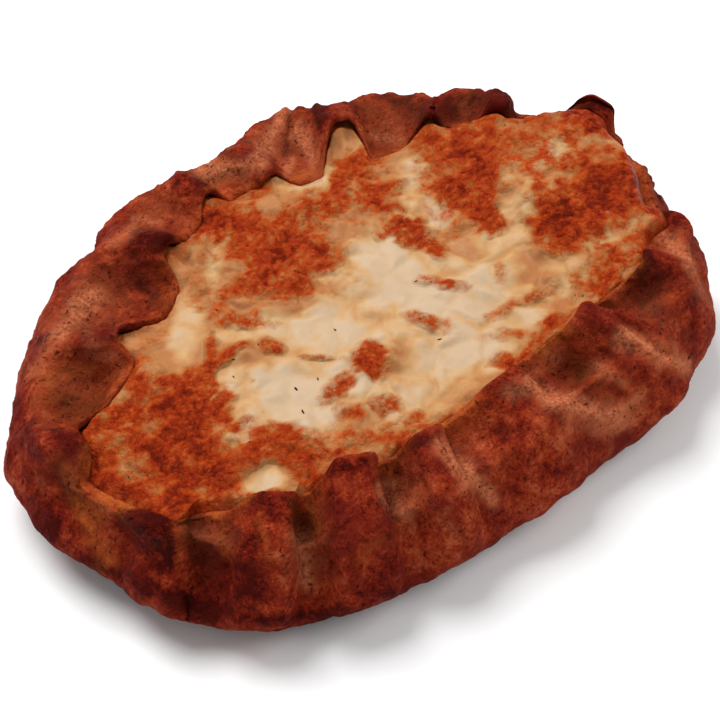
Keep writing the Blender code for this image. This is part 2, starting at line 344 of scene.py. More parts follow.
def lapped(angle, u, shares):
    """The angle plus each fold's lap times its share, where the crest leans over what is beyond it."""
    moved = sum(fold.lap * share for fold, share in zip(FOLDS, shares))
    return angle + eased((u - LAP_FROM) / LAP_OVER) * moved


def lobe_curve(field, angle):
    """A smooth closed curve round the rim through one number of each lobe."""
    return ring_curve([lobe.angle for lobe in LOBES], [getattr(lobe, field) for lobe in LOBES], angle)


def mixed(lobe_value, fold_values, shares):
    """The lobe's value where there is no fold, and each fold's own value on its crest."""
    total = sum(shares)
    spare = np.clip(1.0 - total, 0.0, 1.0)
    weight = np.maximum(total, 1.0)
    return lobe_value * spare + sum(s * v for s, v in zip(shares, fold_values)) / weight


def swell(angle, u, shares):
    """The outline, plus folds that stand proud and lobes that puff, fading to the foot of the wall."""
    fold = np.clip(sum(shares), 0.0, 1.0)
    relief = FOLD_PROUD * fold + lobe_curve("puff", angle) * (1.0 - fold)
    fade = eased((u - RELIEF_FROM) / (RELIEF_FULL - RELIEF_FROM))
    return outline(angle) + relief * fade / radius(angle)


at_edge = np.ones((1, 1))
crest_total = sum(fold_shares(all_round(360), at_edge))
print("crests take up", round(float(np.clip(crest_total, 0.0, 1.0).mean()), 2), "of the free edge")

# %% [markdown]
# ## The crust's section
#
# A cut through the crust is a curve through nine points: six up the wall, then the shoulder, the middle of
# the slope and the free edge, whose places follow the folds. A Catmull-Rom spline passes through all nine.
# The inner skin is the same curve with each point moved in by the thickness of the dough, because
# offsetting the finished curve would cross itself in the tight bends.

# %% A curve through points


def through(points, u):
    """A Catmull-Rom curve through equally spaced points, read at each row's u from 0 to 1."""
    last = len(points) - 1
    points = np.stack(np.broadcast_arrays(*points))
    x = np.minimum(u[:, 0] * last, last - 1e-9)
    i = x.astype(int)
    f = (x - i)[:, None]
    row = np.arange(len(x))
    p0, p1 = points[np.maximum(i - 1, 0), row], points[i, row]
    p2, p3 = points[i + 1, row], points[np.minimum(i + 2, last), row]
    bend = (2 * p0 - 5 * p1 + 4 * p2 - p3) * f * f
    return 0.5 * (2 * p1 + (p2 - p0) * f + bend + (3 * p1 - p0 - 3 * p2 + p3) * f**3)


quarter = through([0.0 * at_edge, 1.0 * at_edge, 4.0 * at_edge], 0.25 * at_edge)
print("a curve through 0, 1 and 4 is at", round(float(quarter[0, 0]), 3), "after a quarter of its way")

# %% [markdown]
# ## Where the nine points lie
#
# A lobe's shoulder hangs as its edge does, and a fold's stands up. Where the filling nearly fills the pie
# the rim has no width to slope, so there the shoulder rises to the edge and the rim is an upright wall.

# %% Section of the crust
SHOULDER_PLACE = 0.80
MIDDLE_PLACE = 0.48
WIDE_RIM = 9.0
NARROW_RIM = 3.5
NARROWEST_RIM = 1.2
SHOULDER_HEIGHT = 19.0
NARROW_SHOULDER_DROP = 0.4
LOBE_SHOULDER_FOLLOW = 0.7
FOLD_SHOULDER_RISE = 0.4
FOLD_MIDDLE_RISE = 0.5


def narrowness(angle, wall_top, edge_share):
    """0 where the rim reaches far in over the filling, 1 where it is only an upright wall."""
    return eased((WIDE_RIM - (wall_top - edge_share) * radius(angle)) / (WIDE_RIM - NARROW_RIM))


def section_points(angle, u):
    """The nine points of the outer skin as shares and heights, and how narrow the rim is."""
    shares = fold_shares(angle, u)
    fold = np.clip(sum(shares), 0.0, 1.0)
    wide = swell(angle, u, shares)
    wall_top = WALL_TOP_SHARE * wide
    lobe_height = lobe_curve("height", angle)
    edge = mixed(lobe_curve("reach", angle), [f.reach for f in FOLDS], shares)
    edge = np.minimum(edge, wall_top - NARROWEST_RIM / radius(angle))
    edge_height = mixed(lobe_height, [f.height for f in FOLDS], shares)
    narrow = narrowness(angle, wall_top, edge)
    shoulder = edge + (wall_top - edge) * SHOULDER_PLACE
    sag = lobe_curve("sag", angle)
    follow = (LOBE_SHOULDER_FOLLOW * (lobe_height - SHOULDER_HEIGHT) - sag) * (1.0 - fold)
    shoulder_height = SHOULDER_HEIGHT + FOLD_SHOULDER_RISE * fold + follow
    shoulder_height = shoulder_height + (edge_height - NARROW_SHOULDER_DROP - shoulder_height) * narrow
    middle = edge + (shoulder - edge) * MIDDLE_PLACE
    sunk = mixed(-lobe_curve("dent", angle), [FOLD_MIDDLE_RISE] * len(FOLDS), shares)
    middle_height = 0.5 * (shoulder_height + edge_height) + sunk * (1.0 - narrow)
    rise = np.minimum(shoulder_height / SHOULDER_HEIGHT, 1.0)
    out = [share * wide for share, height in WALL_PROFILE] + [shoulder, middle, edge]
    up = [height * rise for share, height in WALL_PROFILE] + [shoulder_height, middle_height, edge_height]
    return out, up, narrow


def outer_skin(angle, u):
    """Points in mm for an angle and a u from 0 at the base's edge to 1 at the free edge."""
    out, up, narrow = section_points(angle, u)
    return placed(lapped(angle, u, fold_shares(angle, u)), through(out, u), through(up, u))


def inner_skin(angle, u):
    """The outer skin's nine points, each moved in and down by its part of the thickness; the same curve."""
    out, up, narrow = section_points(angle, u)
    inwards = [0.5, 0.7, 0.95, 1.0, 1.0, 0.9, 0.5 + 0.5 * narrow, 0.9 * narrow, 0.7 * narrow]
    free = -1.0 + 0.3 * narrow
    upwards = [1.0, 0.7, 0.3, 0.0, -0.1, -0.4, -0.9 + 0.2 * narrow, free, free]
    out = [share - CRUST_THICKNESS * move / radius(angle) for share, move in zip(out, inwards)]
    up = [height + CRUST_THICKNESS * move for height, move in zip(up, upwards)]
    return placed(lapped(angle, u, fold_shares(angle, u)), through(out, u), through(up, u))


edge_height = section_points(all_round(360), at_edge)[1][-1]
print("the free edge is", round(edge_height.min(), 1), "to", round(edge_height.max(), 1), "mm high")

# %% [markdown]
# ## Noise for a surface that nobody planned
#
# Dough is never smooth. Value noise gives each corner of a lattice a repeatable random number and blends
# between them, and a few sizes of it added up look like a rough skin. Cells are the second kind of noise:
# the distance to the nearest of many scattered points makes a heap of rounded lumps, which is what a grainy
# filling looks like.

# %% Noise helpers


def scattered(ix, iy, iz, seed):
    """A repeatable number from 0 to 1 for each whole-number place: the mixed bits of its coordinates."""
    n = ix.astype(np.uint32) * np.uint32(374761393)
    n = n + iy.astype(np.uint32) * np.uint32(668265263)
    n = n + iz.astype(np.uint32) * np.uint32(2147483647) + np.uint32(seed * 974711 + 12345)
    n = (n ^ (n >> np.uint32(13))) * np.uint32(1274126177)
    n = (n ^ (n >> np.uint32(16))) * np.uint32(2246822519)
    return ((n ^ (n >> np.uint32(15))) & np.uint32(0xFFFFFF)) / float(0xFFFFFF)


def value_noise(points, size, seed):
    """From -1 to 1: lattice values a size apart, blended with a fifth-power ease between them."""
    p = points / size + 1000.0
    base = np.floor(p)
    f = p - base
    f = f**3 * (f * (f * 6.0 - 15.0) + 10.0)
    ix, iy, iz = (base[..., k].astype(np.int64) for k in range(3))
    total = 0.0
    for dx in (0, 1):
        for dy in (0, 1):
            for dz in (0, 1):
                weight = 1.0
                for k, d in enumerate((dx, dy, dz)):
                    weight = weight * (f[..., k] if d else 1.0 - f[..., k])
                total = total + weight * scattered(ix + dx, iy + dy, iz + dz, seed)
    return total * 2.0 - 1.0


def rough(points, size, seed, octaves=3):
    """Value noise of one size plus half of half the size, and so on."""
    return sum(value_noise(points, size / 2**k, seed + k) / 2**k for k in range(octaves))


def cells(x, y, size, seed):
    """Distances to the nearest and second nearest scattered point, one point in each square of a grid."""
    gx, gy = np.floor(x / size), np.floor(y / size)
    near = np.full(np.shape(x), 1e9)
    second = np.full(np.shape(x), 1e9)
    for dx in (-1, 0, 1):
        for dy in (-1, 0, 1):
            cx, cy = (gx + dx).astype(np.int64) + 500, (gy + dy).astype(np.int64) + 500
            px = (gx + dx + 0.15 + 0.7 * scattered(cx, cy, 0 * cx, seed)) * size
            py = (gy + dy + 0.15 + 0.7 * scattered(cx, cy, 0 * cx + 1, seed)) * size
            away = np.hypot(x - px, y - py)
            second = np.minimum(second, np.maximum(near, away))
            near = np.minimum(near, away)
    return near / size, second / size


test_line = np.linspace(0.0, 60.0, 200)[:, None] * np.ones(3)
print("rough noise spreads by", round(float(rough(test_line, 3.0, 1).std()), 2), "about its mean")

# %% [markdown]
# ## Grids into meshes
#
# Both pieces are closed bodies of rings, like a globe: each ring is one row of the grid, and the first and
# last rows shrink to a point. The rows are joined with quads, and each end with a fan of triangles.

# %% Mesh helper


def normals(grid):
    """Unit normals of a grid of rings: the direction round the ring crossed with the direction up."""
    up = np.gradient(grid, axis=0)
    along = np.roll(grid, -1, axis=1) - np.roll(grid, 1, axis=1)
    out = np.cross(along, up)
    return out / np.maximum(np.linalg.norm(out, axis=-1, keepdims=True), 1e-9)


def closed_body(name, grid, shift, values):
    """A mesh from rings, first and last ring a point, with one named number for each vertex of the grid."""
    rings, count = grid.shape[:2]
    inside = grid[1:-1].reshape(-1, 3)
    points = np.concatenate([grid[:1, 0], inside, grid[-1:, 0]]) + shift
    row, column = np.meshgrid(np.arange(rings - 3), np.arange(count), indexing="ij")
    beside = (column + 1) % count
    first = 1 + row * count
    quads = np.stack([first + column, first + beside, first + count + beside, first + count + column], -1)
    here = np.arange(count)
    there = (here + 1) % count
    last = 1 + (rings - 3) * count
    bottom = np.stack([0 * here, 1 + there, 1 + here], -1)
    top = np.stack([last + here, last + there, 0 * here + len(points) - 1], -1)
    mesh = bpy.data.meshes.new(name)
    sides = quads.reshape(-1, 4).tolist()
    mesh.from_pydata((points * MM).tolist(), [], sides + bottom.tolist() + top.tolist())
    mesh.shade_smooth()
    for label, value in values.items():
        flat = np.concatenate([value[:1, 0], value[1:-1].ravel(), value[-1:, 0]])
        mesh.attributes.new(label, "FLOAT", "POINT").data.foreach_set("value", flat.astype(np.float32))
    print(name, "has", 2 * len(sides) + 2 * count, "triangles")
    return put(name, mesh)


# %% [markdown]
# ## The rough skin of the dough
#
# Rye dough tears a little when it is rolled and shrinks when it bakes. Shallow dimples come from broad
# noise, the rough skin from finer noise, wrinkles run where a third noise crosses zero, and small pleats
# run down from the free edge where the pinched dough was gathered.

# %% Relief of the crust
DIMPLE_SIZE = 8.0
DIMPLE_DEPTH = 0.50
SKIN_SIZE = 2.4
SKIN_DEPTH = 0.22
WRINKLE_SIZE = 4.5
WRINKLE_DEPTH = 0.35
WRINKLE_SHARPNESS = 0.16
PLEAT_WIDTH = 2.4
PLEAT_DEPTH = 0.07
PLEAT_WANDER = 6.0
DEGREES_PER_RADIAN = 57.3


def outer_relief(angle, u, points):
    """How far the skin is pushed out, in mm: dimples, skin, wrinkles and pleats near the free edge.

    A wrinkle is a bell over noise, so it runs along the line where the noise is 0. The pleats are a cosine
    of the way round in mm, which noise pushes about.
    """
    free = eased((u - 0.04) / 0.12)
    dimples = DIMPLE_DEPTH * rough(points, DIMPLE_SIZE, 11, 2)
    skin = SKIN_DEPTH * rough(points, SKIN_SIZE, 21, 3)
    line = np.exp(-((rough(points, WRINKLE_SIZE, 24, 2) / WRINKLE_SHARPNESS) ** 2))
    wrinkles = WRINKLE_DEPTH * (line - 0.3) * eased((u - 0.3) / 0.3)
    way_round = turned(angle, 0.0) * radius(angle) / DEGREES_PER_RADIAN
    pleat = np.cos((way_round + PLEAT_WANDER * value_noise(points, 14.0, 31)) / PLEAT_WIDTH * np.pi)
    pleats = PLEAT_DEPTH * pleat * eased((u - 0.55) / 0.3)
    return (dimples + skin + wrinkles + pleats) * free


upright = np.linspace(0.0, 1.0, 20)[:, None]
sample = outer_relief(all_round(90), upright, outer_skin(all_round(90), upright))
print("the skin moves by", round(float(sample.min()), 2), "to", round(float(sample.max()), 2), "mm")

# %% [markdown]
# ## The fine crust
#
# The fine crust repeats the CAD's skin on a much finer grid and moves each point along its normal by the
# relief. Its rings run from the middle of the underside up the outside, round the free edge, and down the
# inside to a floor under the filling, so that the shell is closed like the real one.

# %% Crust mesh
CRUST_SEGMENTS = 960
OUTER_STEPS = 74
EDGE_STEPS = 5
INNER_STEPS = 9
UNDERSIDE_SHARES = (0.0, 0.3, 0.6, 0.76)
FLOOR_SHARES = (0.86, 0.5, 0.0)
FLOOR_U = 0.30
THINNEST_DOUGH = 0.8


def crust_grid():
    """Rings from the middle of the underside, over the rim, to the middle of the hidden floor.

    Where the relief would cut the dough thinner than the least thickness, it stops there.
    """
    angle = all_round(CRUST_SEGMENTS)
    under = [placed(angle, share * outline(angle), 0.0) for share in UNDERSIDE_SHARES]
    u = np.linspace(0.0, 1.0, OUTER_STEPS)[:, None]
    outer = outer_skin(angle, u)
    out = normals(outer)
    thick = np.sum((outer - inner_skin(angle, u)) * out, axis=-1)
    relief = np.maximum(outer_relief(angle, u, outer), THINNEST_DOUGH - thick)
    room = thick + relief - THINNEST_DOUGH
    outer = outer + relief[..., None] * out
    edge, below = outer[-1:], inner_skin(angle, at_edge)
    turn = np.linspace(0.0, np.pi, EDGE_STEPS + 2)[1:-1]
    inwards = -edge / np.maximum(np.linalg.norm(edge[..., :2], axis=-1, keepdims=True), 1e-9)
    inwards[..., 2] = 0.0
    middle = (edge + below) / 2
    lip = [
        middle + (edge - middle) * np.cos(t) + inwards * np.sin(t) * CRUST_THICKNESS / 2 for t in turn
    ]
    inner_u = np.linspace(1.0, FLOOR_U, INNER_STEPS)[:, None]
    inner = inner_skin(angle, inner_u)
    floor = [placed(angle, share * outline(angle), CRUST_THICKNESS) for share in FLOOR_SHARES]
    grid = np.concatenate(under + [outer] + lip + [inner] + floor)
    flat_u = [np.zeros(len(UNDERSIDE_SHARES)), np.zeros(len(FLOOR_SHARES))]
    along = np.concatenate([flat_u[0], u[:, 0], np.ones(EDGE_STEPS), inner_u[:, 0], flat_u[1]])[:, None]
    spare = np.zeros(grid.shape[:2])
    spare[len(under) : len(under) + OUTER_STEPS] = room
    return grid, np.broadcast_to(angle, grid.shape[:2]), np.broadcast_to(along, grid.shape[:2]), spare


crust_points, crust_angle, crust_u, crust_room = crust_grid()
low, high = crust_points.min(axis=(0, 1)), crust_points.max(axis=(0, 1))
PIE_SHIFT = (crust_low + crust_high) / 2 - (low + high) / 2
PIE_SHIFT[2] = 0.0
print("crust in mm:", np.round(high - low, 1), "shifted by", np.round(PIE_SHIFT, 2))

# %% [markdown]
# ## Strokes on the crust
#
# The marks of a crust can't be worked out from its shape alone: where flour lay, where fat soaked in, where
# the dough lapped or a crest scorched is chance. So the marks that the picture shows are laid on as brush
# strokes, and some of them are painted shade and painted light. A stroke runs between two places in the
# picture, has a width in pixels, and reaches only the part of the crust that the camera sees there.

# %% Stroke helper
STROKE_REACH = 14.0
STROKE_FADE = 5.0
SIGHT_WIDTH = 3.0


class Stroke(NamedTuple):
    """A mark between two places in the picture, in pixels, with its half-width and its strength.

    A negative strength takes away instead.
    """

    column: float
    row: float
    to_column: float
    to_row: float
    width: float
    strength: float


def all_of(kind, *rows):
    """One mark of the kind for each row of its numbers."""
    return [kind(*row) for row in rows]


def pictured(points):
    """Column and row in the picture, and depth in mm from the camera, of points in mm."""
    away = points + PIE_SHIFT - camera_place
    depth = -(away @ camera_back)
    column = PICTURE / 2 + FOCAL * (away @ camera_right) / depth
    row = PICTURE / 2 - FOCAL * (away @ camera_up) / depth
    return column, row, depth


def depth_seen(column, row, seen):
    """The depth of the surface that the camera sees at a place: the least of those within a few pixels."""
    miss = np.hypot(seen[0] - column, seen[1] - row)
    return np.where(miss < max(SIGHT_WIDTH, miss.min() + SIGHT_WIDTH / 2), seen[2], np.inf).min()


def stroke_share(stroke, seen, fray):
    """A bell over the distance to the line in half-widths plus the fray, where the depth is the line's."""
    run = np.array([stroke.to_column - stroke.column, stroke.to_row - stroke.row])
    off = np.stack([seen[0] - stroke.column, seen[1] - stroke.row], -1)
    share = np.clip((off @ run) / max(run @ run, 1e-9), 0.0, 1.0)
    away = np.linalg.norm(off - share[..., None] * run, axis=-1) / stroke.width * (1.0 + fray)
    start = depth_seen(stroke.column, stroke.row, seen)
    end = depth_seen(stroke.to_column, stroke.to_row, seen)
    behind = np.abs(seen[2] - start - (end - start) * share)
    return np.exp(-(np.maximum(away, 0.0) ** 2)) * eased((STROKE_REACH - behind) / STROKE_FADE)


def strokes_on(strokes, seen, fray):
    """All strokes together: 1 minus the product of what each leaves bare."""
    bare = np.ones(seen[0].shape)
    for stroke in strokes:
        bare = bare * (1.0 - stroke.strength * stroke_share(stroke, seen, fray))
    return 1.0 - bare


column, row, depth = pictured(np.zeros(3))
print("the middle of the base shows at column", round(column), "and row", round(row))

# %% [markdown]
# ## Laps, a crack and small ridges
#
# A pinched fold leaves a lapped edge with a groove beside it, the arches at the far side have a thick
# rolled lip, and the foot has one dry crack. Each is a stroke whose strength is millimetres out of the
# surface, or into it if negative. At the end the tallest folds are pressed down a little.

# %% Small shapes of the crust
SHAPE_STROKES = all_of(
    Stroke,
    (294, 492, 312, 560, 7, -0.9), (276, 500, 290, 548, 7, 0.6), (372, 462, 394, 520, 6, -0.7),
    (352, 462, 376, 516, 6, 0.6), (130, 520, 158, 526, 10, 0.8), (172, 526, 172, 574, 6, -0.8),
    (196, 530, 206, 570, 14, -1.0), (444, 432, 452, 470, 5, -0.9), (530, 372, 548, 398, 5, -0.8),
    (588, 310, 650, 350, 6, 0.8), (600, 302, 668, 356, 4, -0.8), (556, 410, 616, 418, 8, 0.6),
    (288, 112, 312, 106, 9, 1.1), (434, 98, 438, 112, 6, -1.3), (458, 95, 490, 93, 9, 0.8),
    (562, 362, 600, 384, 22, -1.1), (534, 378, 556, 408, 8, 0.6), (318, 107, 332, 136, 5, 0.9),
    (288, 150, 292, 112, 4, -0.8), (236, 168, 258, 158, 5, 0.8), (134, 262, 150, 290, 5, 0.8),
    (140, 236, 166, 238, 5, 0.7), (186, 598, 187, 620, 1.3, -1.0),
)
HIGH_FOLDS = 22.5
HIGHEST = 23.5
crust_seen = pictured(crust_points)
steady = np.zeros(crust_seen[0].shape)
shape = sum(stroke.strength * stroke_share(stroke, crust_seen, steady) for stroke in SHAPE_STROKES)
shape = np.maximum(shape, -crust_room) * (crust_u > 0.0)
crust_points = crust_points + shape[..., None] * normals(crust_points)
# Folds above HIGH_FOLDS are pressed down so that they come near HIGHEST and never pass it
over = np.maximum(crust_points[..., 2] - HIGH_FOLDS, 0.0) / (HIGHEST - HIGH_FOLDS)
crust_points[..., 2] -= (HIGHEST - HIGH_FOLDS) * (over - np.tanh(over))
print("strokes shape the crust by", round(float(shape.min()), 2), "to", round(float(shape.max()), 2), "mm")

# %% [markdown]
# ## How the crust baked, and its painted shade and light
#
# The crests of the folds stood nearest the heat and turned dark, the dents stayed paler and a little
# floury, fat from the filling turned the lobes' lips golden, and the foot of the wall is darker: partly
# browned against the tray, partly painted shade. Four numbers for each vertex hold this, and each has a
# part that follows the folds all round and a part from the strokes. The dark strokes come first: scorched
# crests, painted shadow in the clefts and hollows beside a lap and in the upper side of the deep dent at
# 285 degrees, a crack, and the foot, darker partly by browning and partly by painted shade. One with a
# negative strength takes darkness away; on the near walls this is painted light, where the lamps leave them
# dimmer than lit dough.

# %% Dark marks and painted shade
# Scorch, and painted shadow in the clefts and hollows beside the laps and in the dent at 285 degrees,
# painted shade along the foot; the negative strokes paint light on the near walls.
SCORCH_AND_SHADE_STROKES = all_of(
    Stroke,
    (556, 436, 640, 408, 16, -0.4), (568, 368, 600, 386, 15, 0.5), (500, 420, 560, 480, 26, -0.1),
    (268, 530, 280, 572, 10, -0.5), (322, 520, 326, 580, 16, -0.5), (352, 490, 376, 530, 12, -0.4),
    (420, 480, 450, 540, 20, -0.55), (100, 500, 112, 540, 10, -0.4), (24, 440, 40, 500, 10, -0.5),
    (576, 316, 600, 350, 12, -0.4), (140, 260, 150, 290, 8, -0.4), (60, 350, 110, 352, 8, -0.4),
    (172, 580, 176, 600, 10, 0.4), (325, 470, 362, 465, 9, 0.55), (350, 480, 384, 530, 10, 0.1),
    (124, 518, 162, 524, 8, 0.95), (136, 540, 160, 570, 11, 0.6), (168, 526, 170, 576, 4, 0.8),
    (291, 498, 303, 540, 5, 0.6), (192, 518, 208, 560, 14, 1.0), (366, 462, 390, 520, 4, 0.7),
    (250, 502, 280, 500, 5, 0.3), (470, 412, 530, 382, 8, 0.5), (500, 430, 530, 450, 12, 0.35),
    (640, 262, 656, 290, 12, 0.8), (660, 270, 690, 300, 10, 0.5), (404, 446, 436, 438, 6, 0.5),
    (140, 240, 174, 242, 9, 1.0), (134, 254, 146, 282, 6, 0.7), (150, 290, 168, 318, 6, 0.7),
    (60, 250, 130, 220, 5, 0.3), (178, 172, 205, 182, 11, 1.0), (206, 180, 214, 190, 3, 0.7),
    (216, 178, 232, 170, 3, 0.3), (240, 160, 258, 158, 4, 0.7), (286, 156, 290, 108, 4.5, 0.9),
    (292, 110, 318, 108, 6, 0.9), (318, 108, 334, 140, 8, 1.0), (345, 128, 350, 134, 4, 0.6),
    (384, 96, 436, 118, 5, 0.7), (408, 106, 442, 124, 11, 1.0), (440, 106, 504, 102, 13, 0.85),
    (490, 96, 512, 120, 10, 0.95), (560, 112, 606, 104, 5, 0.95), (640, 150, 668, 212, 4, 0.9),
    (84, 338, 122, 330, 5, 0.5), (56, 430, 72, 452, 7, 0.8), (40, 340, 80, 326, 6, 0.4),
    (60, 466, 80, 500, 12, 0.85), (30, 480, 50, 530, 12, 0.6), (90, 560, 180, 600, 12, 0.7),
    (180, 604, 260, 618, 10, 0.8), (260, 620, 340, 616, 9, 0.5), (340, 612, 400, 596, 9, 0.45),
    (400, 596, 470, 560, 8, 0.35), (205, 585, 280, 600, 14, 0.4), (345, 565, 370, 578, 14, 0.45),
    (66, 292, 96, 262, 12, 0.45), (636, 296, 668, 312, 12, 0.65), (70, 398, 100, 410, 12, 0.3),
    (380, 570, 420, 600, 14, 0.3), (14, 400, 30, 450, 12, 0.6), (24, 300, 60, 260, 6, 0.4),
    (186, 596, 187, 622, 1.6, 1.0), (240, 540, 262, 580, 10, 0.3), (670, 380, 690, 400, 8, 0.35),
)
print(len(SCORCH_AND_SHADE_STROKES), "dark strokes")

# %% [markdown]
# ## Pale marks and painted light
#
# The dents and the outer flanks of the folds kept some flour on them, and there the crust is tan. On the
# real pie this is dry flour from the bench, so the strokes are broad and soft. Some strokes are painted
# light
# instead: the lit lower rim of the dent at 285 degrees and a painted highlight on the wall at the
# right-hand end.

# %% Pale marks and painted light
# Flour, and painted light on the lit rim of the dent at 285 degrees and a painted highlight on the
# right-hand end's wall.
FLOUR_AND_LIGHT_STROKES = all_of(
    Stroke,
    (440, 444, 466, 470, 8, 0.9), (462, 466, 493, 500, 7, 1.0), (626, 336, 684, 366, 9, 1.0),
    (530, 380, 552, 404, 6, 0.9), (552, 402, 616, 419, 12, 1.0), (618, 412, 640, 396, 6, 0.6),
    (596, 432, 628, 424, 7, 0.4), (299, 538, 308, 580, 8, 1.0), (384, 488, 402, 514, 8, 0.9),
    (112, 244, 134, 226, 6, 0.6), (160, 224, 134, 218, 5, 0.5), (200, 170, 244, 168, 8, 0.95),
    (258, 160, 286, 110, 8, 0.8), (284, 178, 292, 160, 5, 0.7), (300, 130, 312, 160, 8, 0.8),
    (344, 116, 356, 150, 7, 0.2), (372, 136, 400, 140, 6, 0.5), (510, 392, 556, 358, 9, 0.4),
    (596, 362, 624, 384, 7, 0.5), (92, 350, 110, 356, 8, 0.4), (60, 334, 92, 296, 11, 0.85),
    (30, 370, 60, 330, 8, 0.3), (664, 236, 690, 262, 7, 0.8), (690, 262, 700, 290, 5, 0.5),
    (640, 232, 660, 226, 4, 0.5),
)
print(len(FLOUR_AND_LIGHT_STROKES), "pale strokes")

# %% [markdown]
# ## Golden and olive marks
#
# Fat ran from the filling over the lips of the lobes and dried golden. Where it soaked into a dent, the
# dough turned a dull olive brown.

# %% Golden and olive marks
GOLDEN_STROKES = all_of(
    Stroke,
    (176, 506, 240, 498, 7, 0.95), (216, 512, 226, 552, 6, 0.5), (178, 520, 182, 560, 4, 0.4),
    (292, 474, 314, 476, 6, 0.8), (306, 486, 318, 530, 5, 0.8), (372, 452, 396, 446, 5, 0.8),
    (444, 426, 474, 404, 3, 0.8), (92, 450, 108, 500, 9, 0.9), (108, 470, 130, 505, 8, 0.9),
    (84, 516, 108, 560, 9, 0.7), (66, 470, 90, 520, 8, 0.5), (46, 376, 90, 368, 10, 0.5),
    (598, 292, 638, 262, 5, 0.7), (540, 352, 572, 330, 4, 0.8), (168, 262, 178, 244, 4, 0.6),
    (206, 190, 232, 180, 4, 0.6), (240, 166, 262, 166, 3, 0.6), (286, 182, 320, 168, 3, 0.5),
    (416, 150, 470, 128, 5, 0.5), (260, 520, 270, 560, 6, 0.35), (360, 560, 380, 540, 6, 0.3),
)
OLIVE_STROKES = all_of(
    Stroke,
    (186, 526, 206, 572, 10, 0.3), (72, 412, 98, 400, 11, 0.9), (40, 400, 70, 410, 10, 0.5),
    (572, 366, 604, 390, 11, 0.45), (378, 468, 392, 488, 6, 0.4), (292, 170, 300, 150, 5, 0.5),
    (376, 156, 392, 150, 6, 0.5), (108, 296, 130, 304, 10, 0.6), (292, 500, 302, 535, 5, 0.5),
    (216, 178, 224, 172, 5, 0.4),
)
print(len(GOLDEN_STROKES), "golden and", len(OLIVE_STROKES), "olive strokes")

# %% [markdown]
# ## The marks as numbers on the mesh
#
# Now each vertex gets its four numbers. The part that goes all round is a bell or an ease over u, the place
# up the section, so that the back of the pie, which the picture hides, baked like the front.

# %% Marks of the whole crust
PLAIN_BAKE = 0.44
CREST_BAKE = 0.16
FOOT_BAKE_AND_SHADE = 0.38
STROKE_BAKE_AND_SHADE = 0.62
MOTTLE = 0.24
DENT_FLOUR = 0.14
DENT_OLIVE = 0.35
LIP_GOLD = 0.35
STROKE_FRAY = 0.45
DENT_MIDDLE = 0.82
DENT_SPREAD = 0.10


def crust_marks(angle, u, points, seen):
    """Darkness with painted shade, lightness with painted light, gold and olive from 0 to 1: a part from
    the folds and u, plus the strokes.
    """
    fray = STROKE_FRAY * rough(points, 3.0, 45, 3)
    fold = np.clip(sum(fold_shares(angle, u)), 0.0, 1.0)
    crest = fold * eased((u - 0.60) / 0.35)
    # Darker towards the foot: partly browned against the tray, partly painted shade.
    foot = 1.0 - eased((u - 0.02) / 0.26)
    dent = (1.0 - fold) * np.exp(-(((u - DENT_MIDDLE) / DENT_SPREAD) ** 2))
    lip = (1.0 - fold) * eased((u - 0.90) / 0.10)
    outside = (u > 0.0) * 1.0
    mottle = MOTTLE * rough(points, 7.0, 41, 4)
    # The dark family carries scorch and painted shade, the pale family flour and painted light.
    families = (SCORCH_AND_SHADE_STROKES, FLOUR_AND_LIGHT_STROKES, GOLDEN_STROKES, OLIVE_STROKES)
    dark, pale, gold, olive = (outside * strokes_on(family, seen, fray) for family in families)
    dry = 1.0 - np.maximum(gold, olive)
    floury = DENT_FLOUR * dent * (1.0 + rough(points, 6.0, 47, 2)) * dry
    soaked = DENT_OLIVE * dent * (1.0 + rough(points, 7.0, 49, 2))
    numbers = {
        "baked_and_shade": PLAIN_BAKE + CREST_BAKE * crest + FOOT_BAKE_AND_SHADE * foot + STROKE_BAKE_AND_SHADE * dark + mottle,
        "flour_and_light": floury + pale,
        "golden": LIP_GOLD * lip + gold,
        "olive": soaked + olive,
    }
    return {mark: np.clip(value, 0.0, 1.0) for mark, value in numbers.items()}


marks = crust_marks(crust_angle, crust_u, crust_points, crust_seen)
rye_crust = closed_body("rye_crust_fine", crust_points, PIE_SHIFT, marks)
for mark, value in marks.items():
    print(mark, "covers a share of", round(float(value.mean()), 2))

# %% [markdown]
# ## The filling's top
#
# The filling stands in a low dome, higher at one end, where it baked up against the rim. Big lumps lie
# where the picture shows them, and a heap of smaller rounded ones covers it all, because the filling was
# spooned in.

# %% Height of the filling
FILLING_HEIGHT = 16.6
FILLING_DOME = 1.2
FAR_END_RISE = 3.4
# Big lumps in the plan: middle x and y, rise, and spread in x and y, all in mm
LUMPS = (
    (36, -2, 1.6, 9, 7),
    (24, 12, 1.2, 8, 6),
    (2, 22, 1.1, 8, 5),
    (-12, 12, 1.0, 9, 7),
    (-26, 2, 1.1, 8, 7),
    (-40, 8, 1.0, 7, 6),
    (-34, -12, 1.2, 9, 6),
    (4, 2, 1.3, 9, 6),
    (14, -10, 1.0, 10, 5),
    (-8, -12, 0.9, 8, 5),
    (46, 8, 1.1, 6, 7),
    (-20, -20, 0.8, 7, 4),
)


def free_top(x, y):
    """Height of the filling: a dome that falls with the distance out squared, a rise, and bell lumps."""
    out = np.hypot(x / HALF_LENGTH, y / HALF_WIDTH)
    height = FILLING_HEIGHT + FILLING_DOME * (1.0 - out**2)
    height = height + FAR_END_RISE * eased((x / HALF_LENGTH - 0.25) / 0.6)
    for lump_x, lump_y, rise, across_x, across_y in LUMPS:
        off = ((x - lump_x) / across_x) ** 2 + ((y - lump_y) / across_y) ** 2
        height = height + rise * np.exp(-off)
    return height


print("the filling's middle is", round(float(free_top(0.0, 0.0)), 1), "mm high")

